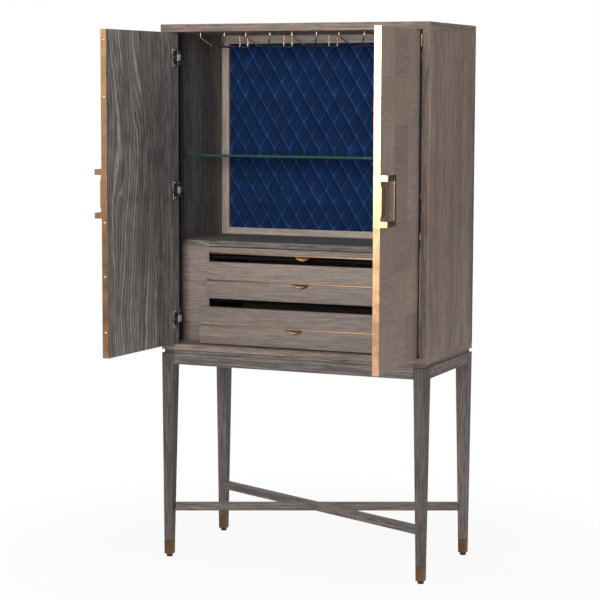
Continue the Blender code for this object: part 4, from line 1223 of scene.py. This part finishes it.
def addLamp(name, setup):
    light = bpy.data.lights.new(name, "AREA")
    light.shape = "RECTANGLE"
    light.size, light.size_y = setup["size"]
    light.energy = setup["power"]
    direction = Vector(setup["aim"]) - Vector(setup["place"])
    turn = direction.to_track_quat("-Z", "Y").to_matrix().to_4x4()
    addObject(name, light).matrix_world = Matrix.Translation(setup["place"]) @ turn


def glow(tree, strength):
    return addNode(tree, "Emission", {"Color": studio["white"], "Strength": strength})[0]


def stageSheet(name, material, corners, surface):
    # a sheet of four corners whose surface is given in place of the usual shader
    tree = finishes[material].node_tree
    tree.nodes.remove(tree.nodes["Principled BSDF"])
    setInputs(tree, tree.nodes["Material Output"], {"Surface": surface})
    sheet = meshPiece(name, material, np.array(corners), gridFaces(2, 2))
    return sheet


def addCard(name, setup):
    # an upright sheet that only gloss sees, facing the cabinet, brighter towards its top
    centre = np.array(setup["centre"])
    across = np.cross((0.0, 0.0, 1.0), centre * np.array([1.0, 1.0, 0.0]))
    across = across / np.linalg.norm(across) * setup["size"][0] / 2
    up = np.array([0.0, 0.0, setup["size"][1] / 2])
    tree, _, source = newMaterial(name)
    bottom = setup["centre"][2] - setup["size"][1] / 2
    share = rangeOf(tree, axes(tree, source)[2], bottom, bottom + setup["size"][1])
    share = maths(tree, "POWER", share, studio["cardPower"])
    strength = maths(tree, "MULTIPLY_ADD", share, setup["high"] - setup["low"], setup["low"])
    corners = [centre - across - up, centre + across - up, centre - across + up, centre + across + up]
    card = stageSheet(name, name, corners, glow(tree, strength))
    for kind in ("camera", "diffuse", "shadow", "transmission"):
        setattr(card, "visible_" + kind, False)


def seenDirectly(tree):
    path = addNode(tree, "LightPath", {})
    seen = maths(tree, "MAXIMUM", path["Is Camera Ray"], path["Is Glossy Ray"])
    return maths(tree, "MAXIMUM", seen, path["Is Transmission Ray"])


def makeFloor(setup):
    # white where it is seen; near the object a share of it is lit, so that the shadow shows
    half = setup["floorSize"] / 2
    tree, _, source = newMaterial("pale_floor")
    away = addNode(tree, "VectorMath", {0: source, 1: setup["shadowCentre"]}, operation="DISTANCE")["Value"]
    reach = (setup["shadowFrom"], setup["shadowTo"], setup["shadowShare"], 0.0)
    shadow = rangeOf(tree, away, *reach, kind="SMOOTHSTEP")
    share = times(tree, seenDirectly(tree), maths(tree, "SUBTRACT", 1.0, shadow))
    diffuse = addNode(tree, "BsdfDiffuse", {"Color": setup["floorTone"]})[0]
    mixed = addNode(tree, "MixShader", {0: share, 1: diffuse, 2: glow(tree, 1.0)})[0]
    corners = [(-half, -half, 0.0), (half, -half, 0.0), (-half, half, 0.0), (half, half, 0.0)]
    stageSheet("floor", "pale_floor", corners, mixed)


def makeWorld(setup):
    world = bpy.data.worlds.new("studio")
    bpy.context.scene.world = world
    world.use_nodes = True
    tree = world.node_tree
    strength = rangeOf(tree, seenDirectly(tree), 0.0, 1.0, setup["roomLight"], 1.0)
    setInputs(tree, tree.nodes["Background"], {"Color": setup["white"], "Strength": strength})


makeFloor(studio)
makeWorld(studio)
addCamera(cameraSetup)
for name, setup in lampSetups.items():
    addLamp(name, setup)
for name, setup in cardSetups.items():
    addCard(name, setup)
bpy.context.scene.view_settings.view_transform = "Standard"
print("studio ready")
